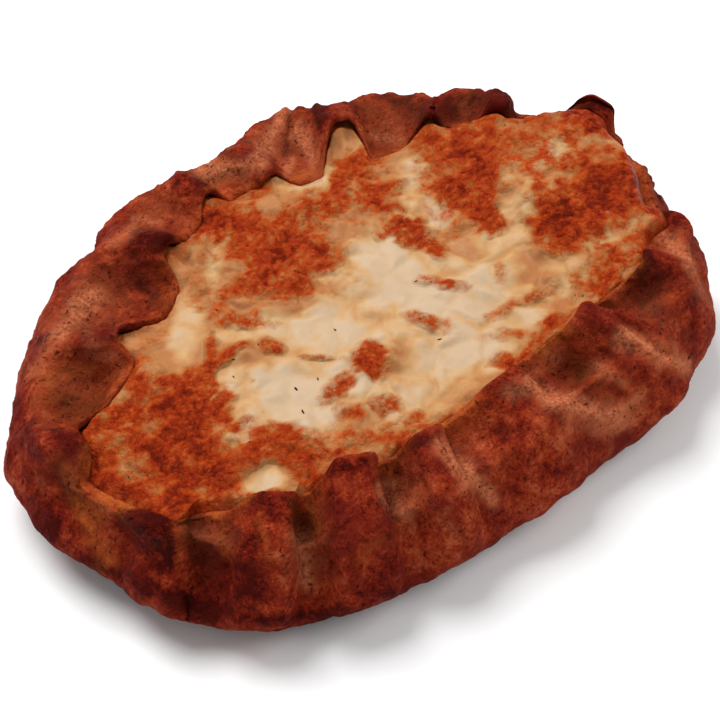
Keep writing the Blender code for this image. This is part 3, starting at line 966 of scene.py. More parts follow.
# %% [markdown]
# ## The filling's rings
#
# The filling takes the shape of the dough around it: its side follows the crust's inner skin with a hair of
# air between them. From the brink its top rolls over to the free height, quickly, as a thick porridge does.

# %% Filling mesh
FILLING_SEGMENTS = 720
FILLING_BASE_SHARES = (0.0, 0.5, 0.80)
SIDE_STEPS = 15
TOP_STEPS = 116
RING_CROWDING = 1.15
FILLING_ROLL = 4.0
FAR_END_ROLL = 3.2
FAR_END_ANGLE = 345.0
FAR_END_SPREAD = 25.0
SNUG = 0.06
CLIMB = 0.62
CLIMB_WIDTH = 6.0
RELAX_WIDTH = 9.0
RELAX_DEGREES = 7.0


def smoothed(ring, degrees):
    """A closed ring of values, averaged over its neighbours under a bell curve of that spread."""
    turn = np.fft.fftfreq(FILLING_SEGMENTS, 1.0 / FILLING_SEGMENTS)
    keep = np.exp(-0.5 * (turn * np.radians(degrees)) ** 2).reshape(1, -1, *[1] * (ring.ndim - 2))
    return np.fft.ifft(np.fft.fft(ring, axis=1) * keep, axis=1).real


def filling_grid():
    """Rings from the middle of the underside, up the crust's inner skin, and in over the top to its middle.

    Under the arched folds the filling climbs part of the way to the dough, as it does when it swells. The
    sharp bends of the brink relax over some millimetres inwards, so that the top carries no creases.
    """
    angle = all_round(FILLING_SEGMENTS)
    floor = CRUST_THICKNESS + SNUG
    under = [placed(angle, share * outline(angle), floor) for share in FILLING_BASE_SHARES]
    side_u = np.linspace(FLOOR_U, 1.0, SIDE_STEPS)[:, None]
    side = inner_skin(angle, side_u)
    side = side - SNUG * normals(side)
    brink = side[-1:].copy()
    spare = np.maximum(brink[..., 2] - free_top(brink[..., 0], brink[..., 1]), 0.0) * CLIMB
    side[..., 2] = np.minimum(side[..., 2], free_top(side[..., 0], side[..., 1]) + spare)
    brink = side[-1:]
    calm = smoothed(brink, RELAX_DEGREES)
    calm_spare = smoothed(spare, RELAX_DEGREES / 2)
    reach = np.hypot(brink[..., 0], brink[..., 1])
    inward = np.linspace(0.0, 1.0, TOP_STEPS + 1)[1:, None] ** RING_CROWDING
    distance = reach * inward
    relax = eased(distance / RELAX_WIDTH)[..., None]
    top = (brink + (calm - brink) * relax) * (1.0 - inward)[..., None]
    far_end = np.exp(-((turned(angle, FAR_END_ANGLE) / FAR_END_SPREAD) ** 2))
    roll = np.clip(distance / (FILLING_ROLL + (FAR_END_ROLL - FILLING_ROLL) * far_end), 0.0, 1.0)
    swollen = spare + (calm_spare - spare) * eased(distance / (CLIMB_WIDTH / 2))
    level = free_top(top[..., 0], top[..., 1]) + swollen * (1.0 - eased(distance / CLIMB_WIDTH))
    top[..., 2] = brink[..., 2] + (level - brink[..., 2]) * np.sqrt(1.0 - (1.0 - roll) ** 2)
    return np.concatenate(under + [side, top]), len(under) + SIDE_STEPS


filling_points, first_top = filling_grid()
print("filling is up to", round(filling_points[..., 2].max(), 1), "mm high before its relief")

# %% [markdown]
# ## Browned patches
#
# Where the milk skin of the filling lay proud or thin it browned, from golden at a patch's border to dark
# in its heart. Each patch is an ellipse in the picture: the place of its middle, its two half-axes in
# pixels, how far it is turned, and how strongly it browned.

# %% Brown patches


class Patch(NamedTuple):
    """A spot by its place in the picture, its half-axes and how far it is turned, in pixels and degrees.

    A negative strength takes away.
    """

    column: float
    row: float
    long: float
    wide: float
    turn: float
    strength: float


BROWN_PATCHES = all_of(
    Patch,
    (237, 227, 26, 16, 10, 0.8), (222, 208, 16, 10, 20, 0.5), (266, 250, 40, 26, 20, 0.6),
    (275, 262, 20, 14, 0, 0.7), (300, 234, 26, 30, 20, 0.4), (248, 286, 28, 10, -12, 0.8),
    (326, 208, 22, 16, -20, 0.65), (296, 292, 34, 10, -6, 0.6), (312, 262, 24, 18, 0, 0.45),
    (204, 240, 14, 24, 20, 0.4), (356, 174, 18, 20, 50, 0.65), (376, 206, 34, 19, 42, 0.8),
    (390, 190, 14, 10, 0, 0.5), (412, 236, 22, 13, 30, 0.75), (438, 256, 12, 8, 50, 0.6),
    (462, 152, 30, 20, 20, 0.6), (466, 172, 34, 26, 70, 0.75), (484, 206, 26, 15, 75, 0.8),
    (494, 228, 16, 10, 30, 0.5), (474, 136, 32, 12, -6, 0.5), (430, 158, 20, 10, 30, 0.4),
    (596, 208, 50, 24, -14, 0.95), (610, 196, 24, 14, 10, 0.4), (566, 232, 30, 16, 0, 0.75),
    (560, 250, 30, 9, 0, 0.6), (584, 132, 26, 22, 10, 0.65), (572, 160, 16, 14, 60, 0.5),
    (530, 140, 40, 14, 0, 0.3), (640, 192, 18, 14, 40, 0.3), (628, 170, 10, 14, 60, 0.2),
    (618, 264, 38, 12, -8, 0.6), (640, 240, 20, 10, 0, 0.4), (430, 283, 15, 6, 10, 0.5),
    (452, 289, 15, 5, 0, 0.5), (500, 275, 9, 9, 0, 0.4), (576, 282, 7, 10, 0, 0.6),
    (504, 310, 21, 6, -28, 0.5), (534, 298, 22, 7, -16, 0.55), (430, 324, 23, 9, 14, 0.58),
    (370, 362, 22, 15, -20, 0.8), (344, 384, 20, 10, -40, 0.75), (384, 405, 16, 9, 10, 0.6),
    (352, 417, 13, 8, 0, 0.6), (400, 420, 22, 7, -20, 0.3), (510, 334, 26, 7, -5, 0.45),
    (536, 344, 24, 9, -50, 0.65), (556, 330, 18, 8, -40, 0.6), (508, 362, 14, 9, 0, 0.6),
    (240, 326, 26, 8, 4, 0.7), (214, 316, 10, 12, 0, 0.4), (211, 350, 6, 28, 0, 0.6),
    (273, 353, 16, 7, 10, 0.65), (316, 360, 22, 3.0, 0, 0.55), (226, 364, 22, 5, -35, 0.65),
    (196, 378, 20, 7, -30, 0.55), (160, 512, 54, 12, 4, 0.7), (215, 494, 34, 8, -8, 0.6),
    (108, 496, 16, 24, -30, 0.7), (88, 452, 10, 20, -20, 0.6), (146, 374, 26, 14, -30, 0.3),
    (150, 470, 40, 20, 10, 0.6), (330, 440, 26, 12, -10, 0.3), (620, 232, 30, 16, -10, 0.3),
    (196, 282, 12, 26, 0, 0.3), (188, 408, 46, 22, 8, 0.7), (214, 408, 24, 20, -20, 0.7),
    (128, 414, 26, 14, -20, 0.65), (140, 448, 44, 24, 10, 0.6), (180, 440, 30, 16, 0, 0.5),
    (212, 470, 46, 18, -2, 0.85), (178, 478, 26, 14, 10, 0.6), (276, 446, 34, 19, 10, 0.7),
    (300, 462, 22, 10, -10, 0.4), (112, 484, 26, 18, 30, 0.65), (150, 498, 34, 12, 4, 0.6),
    (190, 506, 34, 8, 0, 0.4), (184, 250, 10, 20, 20, 0.4), (260, 196, 20, 8, -10, 0.35),
    (160, 430, 60, 50, 0, 0.30), (266, 482, 20, 12, -20, -1.6), (556, 140, 30, 22, 0, 0.5),
    (450, 196, 30, 44, 0, 0.35), (510, 164, 50, 26, 0, 0.35), (170, 420, 70, 22, 0, 0.4),
    (392, 436, 44, 16, -15, 0.55), (310, 472, 44, 12, -16, 0.5), (150, 344, 20, 14, -30, 0.3),
    (586, 292, 44, 16, -30, 0.45), (580, 340, 20, 12, -40, 0.5), (450, 198, 14, 18, 0, 0.5),
    (152, 486, 40, 16, 6, 0.5), (176, 424, 22, 14, 0, 0.5), (646, 262, 20, 12, -20, 0.6),
    (652, 216, 16, 14, 40, 0.6), (600, 290, 24, 9, -34, 0.5), (270, 250, 70, 56, 0, 0.25),
    (490, 170, 70, 50, 0, 0.25), (600, 200, 60, 60, 0, 0.30),
)
print(len(BROWN_PATCHES), "brown patches")

# %% [markdown]
# ## From the picture onto the filling
#
# A line of sight through a patch's middle, and one through the end of each half-axis, meet the filling's
# level in three points, and these give an ellipse that lies on the filling. Noise frays its border. A
# narrow band along the brink browned too, because the filling is thin there and touches hot dough.

# %% Browning of the filling
PATCH_HEIGHT = 18.0
BORDER = 1.5
BRINK_WIDTH = 2.4
BRINK_ANGLES = (0, 45, 90, 135, 180, 215, 245, 280, 320)
BRINK_BROWNS = (0.8, 0.55, 0.45, 0.45, 0.7, 0.8, 0.6, 0.3, 0.6)


def patch_share(patch, x, y, fray):
    """1 in the middle of the patch and 0 past its border, by the distance in half-axes plus the fray."""
    turn = np.radians(patch.turn)
    along = np.array([np.cos(turn), np.sin(turn)])
    across = np.array([-np.sin(turn), np.cos(turn)])
    centre = on_pie(patch.column, patch.row, PATCH_HEIGHT)[:2]
    ends = [
        on_pie(patch.column + d[0] * size, patch.row + d[1] * size, PATCH_HEIGHT)[:2] - centre
        for d, size in ((along, patch.long), (across, patch.wide))
    ]
    inverse = np.linalg.inv(np.array(ends).T)
    p, q = x - centre[0], y - centre[1]
    away = np.hypot(inverse[0, 0] * p + inverse[0, 1] * q, inverse[1, 0] * p + inverse[1, 1] * q)
    return eased((1.0 + BORDER / 2 - away - fray) / BORDER)


def brink_browning(points):
    """Browning beside the dough: a bell over the way in from the brink, and all of it below the brink."""
    angle = all_round(FILLING_SEGMENTS)
    away = np.linalg.norm(points[..., :2] - points[first_top - 1, :, :2], axis=-1)
    away = np.where(np.arange(len(points))[:, None] < first_top, 0.0, away)
    width = BRINK_WIDTH * (1.0 + 0.5 * rough(points, 5.0, 66, 2))
    return ring_curve(BRINK_ANGLES, BRINK_BROWNS, angle) * np.exp(-((away / width) ** 2))


def plan(points):
    """The points laid flat, with 0 for their heights, so that noise is the same up a steep side."""
    return points * np.array([1.0, 1.0, 0.0])


def filling_browning(points):
    """All patches together: 1 minus what each leaves bare, with borders frayed by noise of two sizes."""
    flat = plan(points + PIE_SHIFT)
    x, y = flat[..., 0], flat[..., 1]
    fray = 0.34 * rough(flat, 5.0, 61, 3) + 0.26 * rough(flat, 1.8, 71, 2)
    left = 1.0 - brink_browning(points)
    for patch in BROWN_PATCHES:
        left = left * (1.0 - patch.strength * patch_share(patch, x, y, fray))
    return np.clip(1.0 - left, 0.0, 1.0)


browning = filling_browning(filling_points)
print("the filling browned by", round(float(browning[first_top:].mean()), 2), "on average over its rings")

# %% [markdown]
# ## Where the filling stayed white
#
# Between the brown patches the filling is warm white only in its thick middle. Towards the rim it turned a
# creamy tan, and between the lumps it is tan too, partly its own tone and partly painted shade. The white
# places are ellipses as well.

# %% Whiteness of the filling
WHITE_PATCHES = all_of(
    Patch,
    (396, 284, 66, 54, 0, 1.0), (300, 398, 88, 42, -12, 1.0), (352, 336, 64, 36, 0, 0.95),
    (470, 300, 56, 36, 0, 0.9), (452, 356, 60, 36, -30, 0.95), (420, 392, 50, 22, -30, 0.7),
    (520, 320, 34, 20, -20, 0.65), (212, 264, 11, 28, 0, 0.8), (264, 484, 18, 13, -20, 0.85),
    (414, 182, 15, 23, 10, 0.8), (430, 206, 10, 20, -20, 0.7), (441, 218, 14, 16, 0, 0.95),
    (548, 163, 22, 18, 20, 0.7), (530, 190, 26, 14, 0, 0.5), (310, 184, 30, 10, -18, 0.85),
    (350, 152, 12, 8, 0, 0.4), (184, 326, 16, 42, 0, 0.65), (146, 366, 30, 20, -30, 0.15),
    (500, 244, 28, 24, 0, 0.7), (516, 220, 16, 14, 0, 0.6), (280, 226, 15, 8, 0, 0.6),
    (330, 280, 18, 13, 0, 0.7), (222, 180, 14, 8, 0, 0.4), (560, 268, 26, 9, -8, 0.5),
    (614, 150, 14, 10, 30, 0.6), (634, 176, 14, 10, 30, 0.5), (620, 240, 30, 7, -20, 0.55),
    (590, 300, 22, 10, -30, 0.35), (505, 348, 16, 8, 0, 0.6), (240, 340, 30, 8, 0, 0.6),
    (290, 330, 40, 14, 0, 0.8), (448, 392, 56, 20, -38, 0.45), (400, 414, 44, 18, -24, 0.55),
    (340, 440, 30, 14, -10, 0.35), (476, 282, 30, 20, -20, 0.8), (556, 292, 30, 10, -24, 0.55),
)


def filling_whiteness(points):
    """The strongest white place at each point, with a softly frayed border."""
    flat = plan(points + PIE_SHIFT)
    x, y = flat[..., 0], flat[..., 1]
    fray = 0.35 * rough(flat, 6.0, 64, 3)
    white = np.zeros(x.shape)
    for patch in WHITE_PATCHES:
        white = np.maximum(white, patch.strength * patch_share(patch, x, y, fray))
    return white


whiteness = filling_whiteness(filling_points)
white_share = round(float(whiteness[first_top:].mean()), 2)
print(len(WHITE_PATCHES), "white patches keep it white by", white_share, "on average")

# %% [markdown]
# ## Lumps and skin of the filling
#
# Now the filling gets its relief. Smooth rounded lumps stand where it stayed pale, and a crinkled skin
# covers the browned patches, which also stand a little higher because they puffed up.

# %% Filling relief
LUMP_SIZE = 5.8
LUMP_RISE = 1.5
LUMP_WANDER = 1.8
WHITE_SMOOTHNESS = 0.68
SMALL_LUMP_SIZE = 2.6
SMALL_LUMP_RISE = 0.22
CLUMP_SIZE = 2.3
CLUMP_RISE = 0.75
CRINKLE_RISE = 0.40
BROAD_RISE = 0.5
RINGS_TO_FULL_RELIEF = 7.0


def heap(x, y, size, seed):
    """Rounded lumps: the root of 1 minus the distance squared, less where two cells meet."""
    near, second = cells(x, y, size, seed)
    dome = np.sqrt(np.clip(1.0 - (near / 1.05) ** 2, 0.0, 1.0))
    return dome * (0.35 + 0.65 * eased((second - near) / 0.8))


def lump_places(points):
    """Places in the plan, x and y each plus noise, so that the heaped lumps are uneven."""
    return [points[..., k] + LUMP_WANDER * rough(plan(points), 6.0, 81 + k, 2) for k in (0, 1)]


def creases(points):
    """1 in the valleys between lumps and 0 on their backs, from both sizes of lump; the colour uses it as
    painted shade.
    """
    bend_x, bend_y = lump_places(points)
    big, small = heap(bend_x, bend_y, LUMP_SIZE, 83), heap(bend_x, bend_y, SMALL_LUMP_SIZE, 85)
    return np.clip(1.0 - 1.1 * big - 0.2 * small, 0.0, 1.0)


def filling_relief(points, brown, white):
    """Millimetres up: heaped lumps where pale, ridged noise where brown, and broad noise everywhere."""
    flat = plan(points)
    bend_x, bend_y = lump_places(points)
    lumps = LUMP_RISE * heap(bend_x, bend_y, LUMP_SIZE, 83) * (1.0 + 0.5 * value_noise(flat, 16.0, 84))
    lumps = lumps * (1.0 - WHITE_SMOOTHNESS * white)
    small = SMALL_LUMP_RISE * heap(bend_x, bend_y, SMALL_LUMP_SIZE, 85) * (1.2 - white)
    ridge = 1.0 - np.abs(rough(flat, 2.4, 91, 3))
    crinkle = CRINKLE_RISE * ridge**2 + CLUMP_RISE * heap(bend_x, bend_y, CLUMP_SIZE, 87)
    pale = (lumps + small) * (1.0 - 0.5 * brown)
    return pale + crinkle * brown + BROAD_RISE * rough(flat, 11.0, 95, 2)


relief = filling_relief(filling_points, browning, whiteness)
print("relief of the filling:", round(float(relief.min()), 1), "to", round(float(relief.max()), 1), "mm")
# Two of these numbers hold painted shade in the valleys between lumps and painted light on the tops of the
# clumps.
filling_marks = {
    "browning": browning,
    "whiteness": whiteness,
    "crease_shade": creases(filling_points),
    "clump_top_light": heap(*lump_places(filling_points), CLUMP_SIZE, 87),
}
from_brink = np.arange(len(filling_points))[:, None] - first_top
filling_points[..., 2] += relief * eased(from_brink / RINGS_TO_FULL_RELIEF)
filling = closed_body("filling_fine", filling_points, PIE_SHIFT, filling_marks)

# %% [markdown]
# ## Colours as they look
#
# Colours are written as they look on a screen and turned into the linear numbers that a shader needs, so
# that they can be held beside the picture.

# %% Screen colours


def shade(red, green, blue):
    """A screen colour, 0 to 255 each, as linear numbers with full alpha."""
    c = np.array([red, green, blue]) / 255.0
    linear = np.where(c <= 0.04045, c / 12.92, ((c + 0.055) / 1.055) ** 2.4)
    return (*(float(x) for x in linear), 1.0)


print("screen grey 128 is", round(shade(128, 128, 128)[0], 3), "in linear light")

# %% [markdown]
# ## Nodes for the materials
#
# Dough and porridge have no pattern that repeats, so every finish is noise and the numbers on the mesh,
# mixed by a few kinds of node. Small helpers add them, and each material below then reads as a recipe.

# %% Node helpers


class Recipe:
    """A material's node tree with short ways to add the nodes that these finishes use."""

    def __init__(self, name):
        self.material = bpy.data.materials.new(name)
        self.material.use_nodes = True
        self.tree = self.material.node_tree
        self.shader = self.tree.nodes["Principled BSDF"]
        self.place = self.tree.nodes.new("ShaderNodeTexCoord").outputs["Object"]

    def link(self, source, socket):
        """Feeds a socket, or sets it where the source is a plain number or colour."""
        if hasattr(source, "is_linked"):
            self.tree.links.new(source, socket)
        else:
            socket.default_value = source

    def attribute(self, name):
        """One of the numbers that the mesh carries at each vertex."""
        node = self.tree.nodes.new("ShaderNodeAttribute")
        node.attribute_name = name
        return node.outputs["Fac"]

    def noise(self, size_mm, detail=3.0, roughness=0.55, distortion=0.0):
        """Noise in the object's own space, with blotches of about that size."""
        node = self.tree.nodes.new("ShaderNodeTexNoise")
        numbers = (1.0 / (size_mm * MM), detail, roughness, distortion)
        for name, number in zip(("Scale", "Detail", "Roughness", "Distortion"), numbers):
            node.inputs[name].default_value = number
        self.link(self.place, node.inputs["Vector"])
        return node.outputs["Fac"]

    def maths(self, operation, first, second, clamp=False):
        """The sum, difference or product of two values, held between 0 and 1 if clamped."""
        node = self.tree.nodes.new("ShaderNodeMath")
        node.operation = operation
        node.use_clamp = clamp
        self.link(first, node.inputs[0])
        self.link(second, node.inputs[1])
        return node.outputs[0]

    def remap(self, value, low, high, to_low, to_high):
        """A straight line from low and high to to_low and to_high, flat beyond them."""
        node = self.tree.nodes.new("ShaderNodeMapRange")
        self.link(value, node.inputs["Value"])
        for name, number in zip(("From Min", "From Max", "To Min", "To Max"), (low, high, to_low, to_high)):
            node.inputs[name].default_value = number
        return node.outputs["Result"]

    def ramp(self, value, *stops):
        """A colour for the value, blended between stops; each is a place and its screen colour."""
        node = self.tree.nodes.new("ShaderNodeValToRGB")
        elements = node.color_ramp.elements
        while len(elements) < len(stops):
            elements.new(0.5)
        for element, (place, colour) in zip(elements, stops):
            element.position = place
            element.color = shade(*colour)
        self.link(value, node.inputs["Fac"])
        return node.outputs["Color"]

    def blend(self, share, first, second):
        """first * (1 - share) + second * share."""
        node = self.tree.nodes.new("ShaderNodeMix")
        node.data_type = "RGBA"
        for name, value in (("Factor", share), ("A", first), ("B", second)):
            self.link(value, node.inputs[name])
        return node.outputs["Result"]

    def bump(self, height, depth_mm, below=None):
        """Leans the surface by the slope of a height, on top of another bump if there is one."""
        node = self.tree.nodes.new("ShaderNodeBump")
        node.inputs["Distance"].default_value = depth_mm * MM
        self.link(height, node.inputs["Height"])
        if below is not None:
            self.link(below, node.inputs["Normal"])
        return node.outputs["Normal"]

    def finished(self, sockets):
        """Fills the shader's sockets and gives the material back."""
        for name, value in sockets.items():
            self.link(value, self.shader.inputs[name])
        return self.material


print("a recipe's helpers:", ", ".join(name for name in vars(Recipe) if name[0] != "_"))


# %% [markdown]
# ## Rye crust
#
# The crust runs from a tan skin through red-brown to nearly black, with dark bran specks and pale flour,
# and with the painted shade and painted light of the marks. One ramp turns the darkness, baked and painted
# shade together, into colour, and noise of two sizes makes it mottled.

# %% Rye material


def rye_material():
    """Baked dough: the ramp's colour over darkness with painted shade, redder blotches, the three other
    marks with painted light in the pale one, bran specks and bumps.
    """
    rye = Recipe("rye_crust")
    mottle = rye.remap(rye.noise(3.0, 8.0, 0.72, 0.3), 0.32, 0.68, -0.36, 0.36)
    grain = rye.remap(rye.noise(0.7, 5.0, 0.75), 0.3, 0.7, -0.28, 0.28)
    dark = rye.maths("ADD", rye.maths("ADD", rye.attribute("baked_and_shade"), mottle), grain, clamp=True)
    colour = rye.ramp(
        dark,
        (0.05, (178, 88, 54)),
        (0.28, (162, 60, 30)),
        (0.50, (138, 42, 19)),
        (0.74, (108, 25, 12)),
        (0.98, (66, 11, 5)),
    )
    purple = rye.remap(rye.noise(8.0, 4.0, 0.6), 0.47, 0.62, 0.0, 0.6)
    colour = rye.blend(purple, colour, shade(104, 26, 19))
    patchy = rye.remap(rye.noise(1.3, 5.0, 0.7), 0.35, 0.62, 0.25, 1.0)
    dust_and_light = rye.remap(rye.noise(0.7, 4.0, 0.7), 0.35, 0.6, 0.2, 1.0)
    # The pale mark paints flour and painted light alike in its tan colour.
    for mark, broken, paint in (
        ("golden", patchy, shade(190, 96, 40)),
        ("olive", patchy, shade(116, 56, 24)),
        ("flour_and_light", dust_and_light, shade(206, 120, 80)),
    ):
        colour = rye.blend(rye.maths("MULTIPLY", rye.attribute(mark), broken), colour, paint)
    bran = rye.remap(rye.noise(0.9, 4.0, 0.7, 0.4), 0.575, 0.65, 0.0, 0.85)
    colour = rye.blend(bran, colour, shade(60, 10, 4))
    coarse = rye.bump(rye.noise(1.5, 6.0, 0.65), 0.9)
    return rye.finished(
        {
            "Base Color": colour,
            "Roughness": rye.remap(rye.noise(2.0), 0.3, 0.7, 0.60, 0.88),
            "Specular IOR Level": 0.04,
            "Normal": rye.bump(rye.noise(0.4, 4.0, 0.65), 0.25, coarse),
        }
    )


rye_crust.data.materials.append(rye_material())
print("the crust's material has", len(rye_crust.data.materials[0].node_tree.nodes), "nodes")

# %% [markdown]
# ## Filling
#
# Pale filling lets a little light in, so it has some subsurface scattering. The browning attribute, with
# fine noise added, picks the colour on a ramp from warm white through golden and orange to dark brown.
# Painted shade turns the valleys between the lumps tan, and painted light makes the tops of the small
# clumps paler than the crevices between them.

# %% Filling material


def filling_material():
    """Milky filling: a pale ramp over the whiteness less painted shade in the valleys, covered by a skin
    ramp where it browned, paler on the lit clump tops, and bumps.
    """
    food = Recipe("filling")
    fray = food.remap(food.noise(0.9, 6.0, 0.7, 0.6), 0.3, 0.7, -0.24, 0.24)
    blotch = food.remap(food.noise(3.2, 5.0, 0.65), 0.3, 0.7, -0.34, 0.34)
    brown = food.attribute("browning")
    # Painted light: the clump tops take less browning and come out paler than the crevices between them.
    lit_clump_tops = food.maths("MULTIPLY", food.attribute("clump_top_light"), -0.26)
    noise = food.maths("ADD", food.maths("ADD", fray, blotch), lit_clump_tops)
    uneven = food.maths("MULTIPLY", noise, food.remap(brown, 0.0, 0.85, 0.2, 1.0))
    amount = food.maths("ADD", brown, uneven, clamp=True)
    skin = food.ramp(
        amount,
        (0.10, (188, 134, 82)),
        (0.28, (190, 106, 50)),
        (0.48, (188, 80, 26)),
        (0.72, (172, 54, 12)),
        (1.00, (120, 28, 4)),
    )
    cloud = food.remap(food.noise(2.6, 4.0, 0.6), 0.3, 0.7, -0.13, 0.13)
    # Painted shade: the valleys between the lumps lose whiteness towards tan.
    crease_shading = food.maths("MULTIPLY", food.attribute("crease_shade"), 0.38)
    milky = food.maths("ADD", food.attribute("whiteness"), cloud)
    pale = food.ramp(
        food.maths("SUBTRACT", milky, crease_shading, clamp=True),
        (0.00, (168, 110, 66)),
        (0.25, (181, 132, 83)),
        (0.50, (190, 151, 106)),
        (0.80, (190, 163, 133)),
    )
    crisp = food.remap(brown, 0.1, 0.6, 0.03, 1.0)
    folds = food.bump(food.maths("MULTIPLY", food.noise(0.9, 5.0, 0.65, 1.0), crisp), 1.3)
    return food.finished(
        {
            "Base Color": food.blend(food.remap(amount, 0.04, 0.50, 0.0, 1.0), pale, skin),
            "Roughness": food.remap(food.noise(1.5), 0.3, 0.7, 0.30, 0.46),
            "Specular IOR Level": 0.10,
            "Subsurface Weight": 0.25,
            "Subsurface Radius": (1.0, 0.5, 0.25),
            "Subsurface Scale": 1.2 * MM,
            "Normal": food.bump(food.noise(2.0, 2.0, 0.5), 0.14, folds),
        }
    )


filling.data.materials.append(filling_material())
print("the filling's material has", len(filling.data.materials[0].node_tree.nodes), "nodes")

# %% [markdown]
# ## Crumbs
#
# Specks of burnt flour and crumbs fell on the filling. The picture shows a handful on the white part, and
# the rest are strewn at random, mostly where the skin browned. Each is a small pinched ball, all of them
# joined in one mesh, and they share the crust's material with its darkness turned full up.

# %% A ball
CRUMB_RINGS = 4
CRUMB_SIDES = 6


def ball(rings, sides):
    """A unit ball of rings with radius sin(a) at height cos(a), a point at each end; its quads and ends."""
    a = np.linspace(0.0, np.pi, rings + 2)[1:-1, None]
    b = np.linspace(0.0, 2 * np.pi, sides, endpoint=False)[None, :]
    around = np.stack([np.sin(a) * np.cos(b), np.sin(a) * np.sin(b), np.cos(a) + 0 * b], -1)
    points = np.concatenate([around.reshape(-1, 3), [[0.0, 0.0, 1.0], [0.0, 0.0, -1.0]]])
    ring = np.arange(rings - 1)[:, None] * sides
    side = np.arange(sides)
    beside = (side + 1) % sides
    quads = np.stack([ring + side, ring + sides + side, ring + sides + beside, ring + beside], -1)
    last = (rings - 1) * sides
    top = np.stack([0 * side + rings * sides, side, beside], -1)
    bottom = np.stack([0 * side + rings * sides + 1, last + beside, last + side], -1)
    return points, quads.reshape(-1, 4), np.concatenate([top, bottom])


unit, unit_quads, unit_ends = ball(CRUMB_RINGS, CRUMB_SIDES)
print("a crumb has", len(unit), "points and", len(unit_quads) + len(unit_ends), "faces")

# %% [markdown]
# ## The crumbs laid down
#
# A crumb from the picture goes where its line of sight meets the filling, and a strewn one on any point of
# the top. Each is stretched, dented and turned by random numbers, which are the same on every run.

# %% Crumbs
# Column and row in the picture, and half the length in mm
CRUMB_PLACES = (
    (440, 341, 0.52),
    (296, 391, 0.50),
    (303, 415, 0.60),
    (234, 367, 0.36),
    (234, 382, 0.34),
    (217, 312, 0.50),
    (381, 351, 0.32),
    (318, 380, 0.42),
    (259, 351, 0.34),
    (335, 330, 0.36),
    (416, 283, 0.34),
)
STREWN_CRUMBS = 150
STREWN_SIZES = (0.12, 0.30)
BROWN_ENOUGH = 0.35
RINGS_FROM_BRINK = 6
CRUMB_DENTS = (0.7, 1.15)
CRUMB_SLIMNESS = (0.22, 0.5)
CRUMB_THICKNESS = 0.4


def crumb_places(draw):
    """Centres in mm and half-lengths: those of the picture, then strewn ones, kept where it is brown."""
    top = filling_points[first_top + RINGS_FROM_BRINK :].reshape(-1, 3) + PIE_SHIFT
    shown = np.array([[*on_pie(column, row, PATCH_HEIGHT)[:2], size] for column, row, size in CRUMB_PLACES])
    picked = top[draw.integers(0, len(top), STREWN_CRUMBS)]
    strewn = np.column_stack([picked[:, :2], draw.uniform(*STREWN_SIZES, STREWN_CRUMBS)])
    both = np.concatenate([shown, strewn])
    nearest = [np.argmin(np.hypot(top[:, 0] - x, top[:, 1] - y)) for x, y, size in both]
    brown = browning[first_top + RINGS_FROM_BRINK :].ravel()[nearest]
    kept = (np.arange(len(both)) < len(shown)) | (brown > BROWN_ENOUGH)
    return np.column_stack([both[:, :2], top[nearest, 2]])[kept], both[kept, 2]


def crumbs_piece():
    """Balls stretched along one axis, dented by a random number for each point, turned and laid down."""
    draw = np.random.default_rng(5)
    centres, sizes = crumb_places(draw)
    dented = unit[None] * draw.uniform(*CRUMB_DENTS, (len(sizes), len(unit), 1))
    widths = sizes * draw.uniform(*CRUMB_SLIMNESS, len(sizes))
    shape = dented * np.stack([sizes, widths, CRUMB_THICKNESS * sizes], -1)[:, None]
    turn = draw.uniform(0.0, 2 * np.pi, len(sizes))[:, None]
    x = shape[..., 0] * np.cos(turn) - shape[..., 1] * np.sin(turn)
    y = shape[..., 0] * np.sin(turn) + shape[..., 1] * np.cos(turn)
    points = np.stack([x, y, shape[..., 2]], -1) + centres[:, None]
    offset = np.arange(len(sizes))[:, None, None] * len(unit)
    quads = (unit_quads + offset).reshape(-1, 4)
    ends = (unit_ends + offset).reshape(-1, 3)
    mesh = bpy.data.meshes.new("filling_crumbs")
    mesh.from_pydata((points.reshape(-1, 3) * MM).tolist(), [], quads.tolist() + ends.tolist())
    mesh.shade_smooth()
    dark = np.full(len(mesh.vertices), 1.0, np.float32)
    mesh.attributes.new("baked_and_shade", "FLOAT", "POINT").data.foreach_set("value", dark)
    print(len(sizes), "crumbs with", len(mesh.polygons), "faces")
    return put("filling_crumbs", mesh)


crumbs = crumbs_piece()
crumbs.data.materials.append(rye_crust.data.materials[0])

# %% [markdown]
# ## Riding on the frame
#
# Each fine piece rides on the pie's one body and stands for its CAD node.

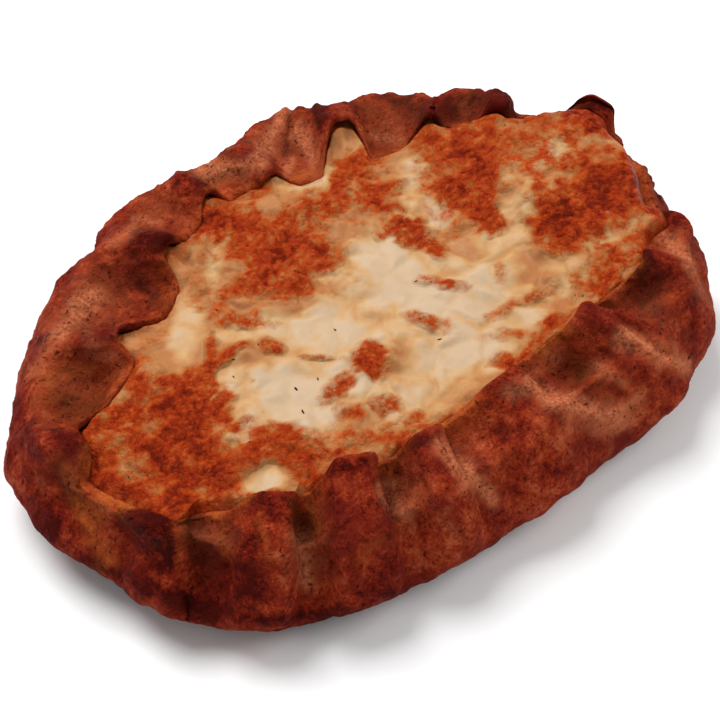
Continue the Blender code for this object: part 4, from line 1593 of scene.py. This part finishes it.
# %% Ride
for piece, node in ((rye_crust, "rye_crust"), (filling, "filling")):
    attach(piece, "root")
    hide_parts(node)
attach(crumbs, "root")
print("three pieces ride on the pie's one body")

# %% [markdown]
# ## Floor and light
#
# A plain white floor, a big soft lamp above the far side and an even white sky give the soft, nearly
# shadowless light of a cut-out product picture.

# %% Floor and light


FLOOR_HALF = 3.0
FLOOR_WHITE = (0.93, 0.93, 0.93, 1.0)
FLOOR_ROUGHNESS = 0.9
SKY_WHITE = (1.0, 1.0, 1.0, 1.0)
SKY_STRENGTH = 0.38
LAMP_WIDTH = 0.6
# Each lamp's place in metres from the pie, and its power in watts
LAMPS = {"far_lamp": ((-0.05, 0.45, 0.75), 8.0), "near_lamp": ((0.5, -0.4, 0.7), 3.2)}


def add_floor():
    """One large square under the pie, which belongs to the studio and not to the part."""
    mesh = bpy.data.meshes.new("studio_floor")
    corners = [(x * FLOOR_HALF, y * FLOOR_HALF, 0.0) for x, y in ((-1, -1), (1, -1), (1, 1), (-1, 1))]
    mesh.from_pydata(corners, [], [(0, 1, 2, 3)])
    paint = bpy.data.materials.new("studio_floor")
    paint.use_nodes = True
    shader = paint.node_tree.nodes["Principled BSDF"]
    shader.inputs["Base Color"].default_value = FLOOR_WHITE
    shader.inputs["Roughness"].default_value = FLOOR_ROUGHNESS
    mesh.materials.append(paint)
    put("studio_floor", mesh)


def add_lamp(name, place, power):
    """A round soft lamp that looks at the pie."""
    lamp = bpy.data.lights.new(name, "AREA")
    lamp.shape = "DISK"
    lamp.size = LAMP_WIDTH
    lamp.energy = power
    aimed(put(name, lamp), place, -Vector(place))


def set_sky():
    """The same white light from every side."""
    sky = bpy.data.worlds.new("studio_sky")
    sky.use_nodes = True
    background = sky.node_tree.nodes["Background"]
    background.inputs["Color"].default_value = SKY_WHITE
    background.inputs["Strength"].default_value = SKY_STRENGTH
    bpy.context.scene.world = sky


add_floor()
set_sky()
for lamp_name, (lamp_place, lamp_power) in LAMPS.items():
    add_lamp(lamp_name, lamp_place, lamp_power)
    print(lamp_name, "gives", lamp_power, "W")
bpy.context.scene.view_settings.view_transform = "Standard"
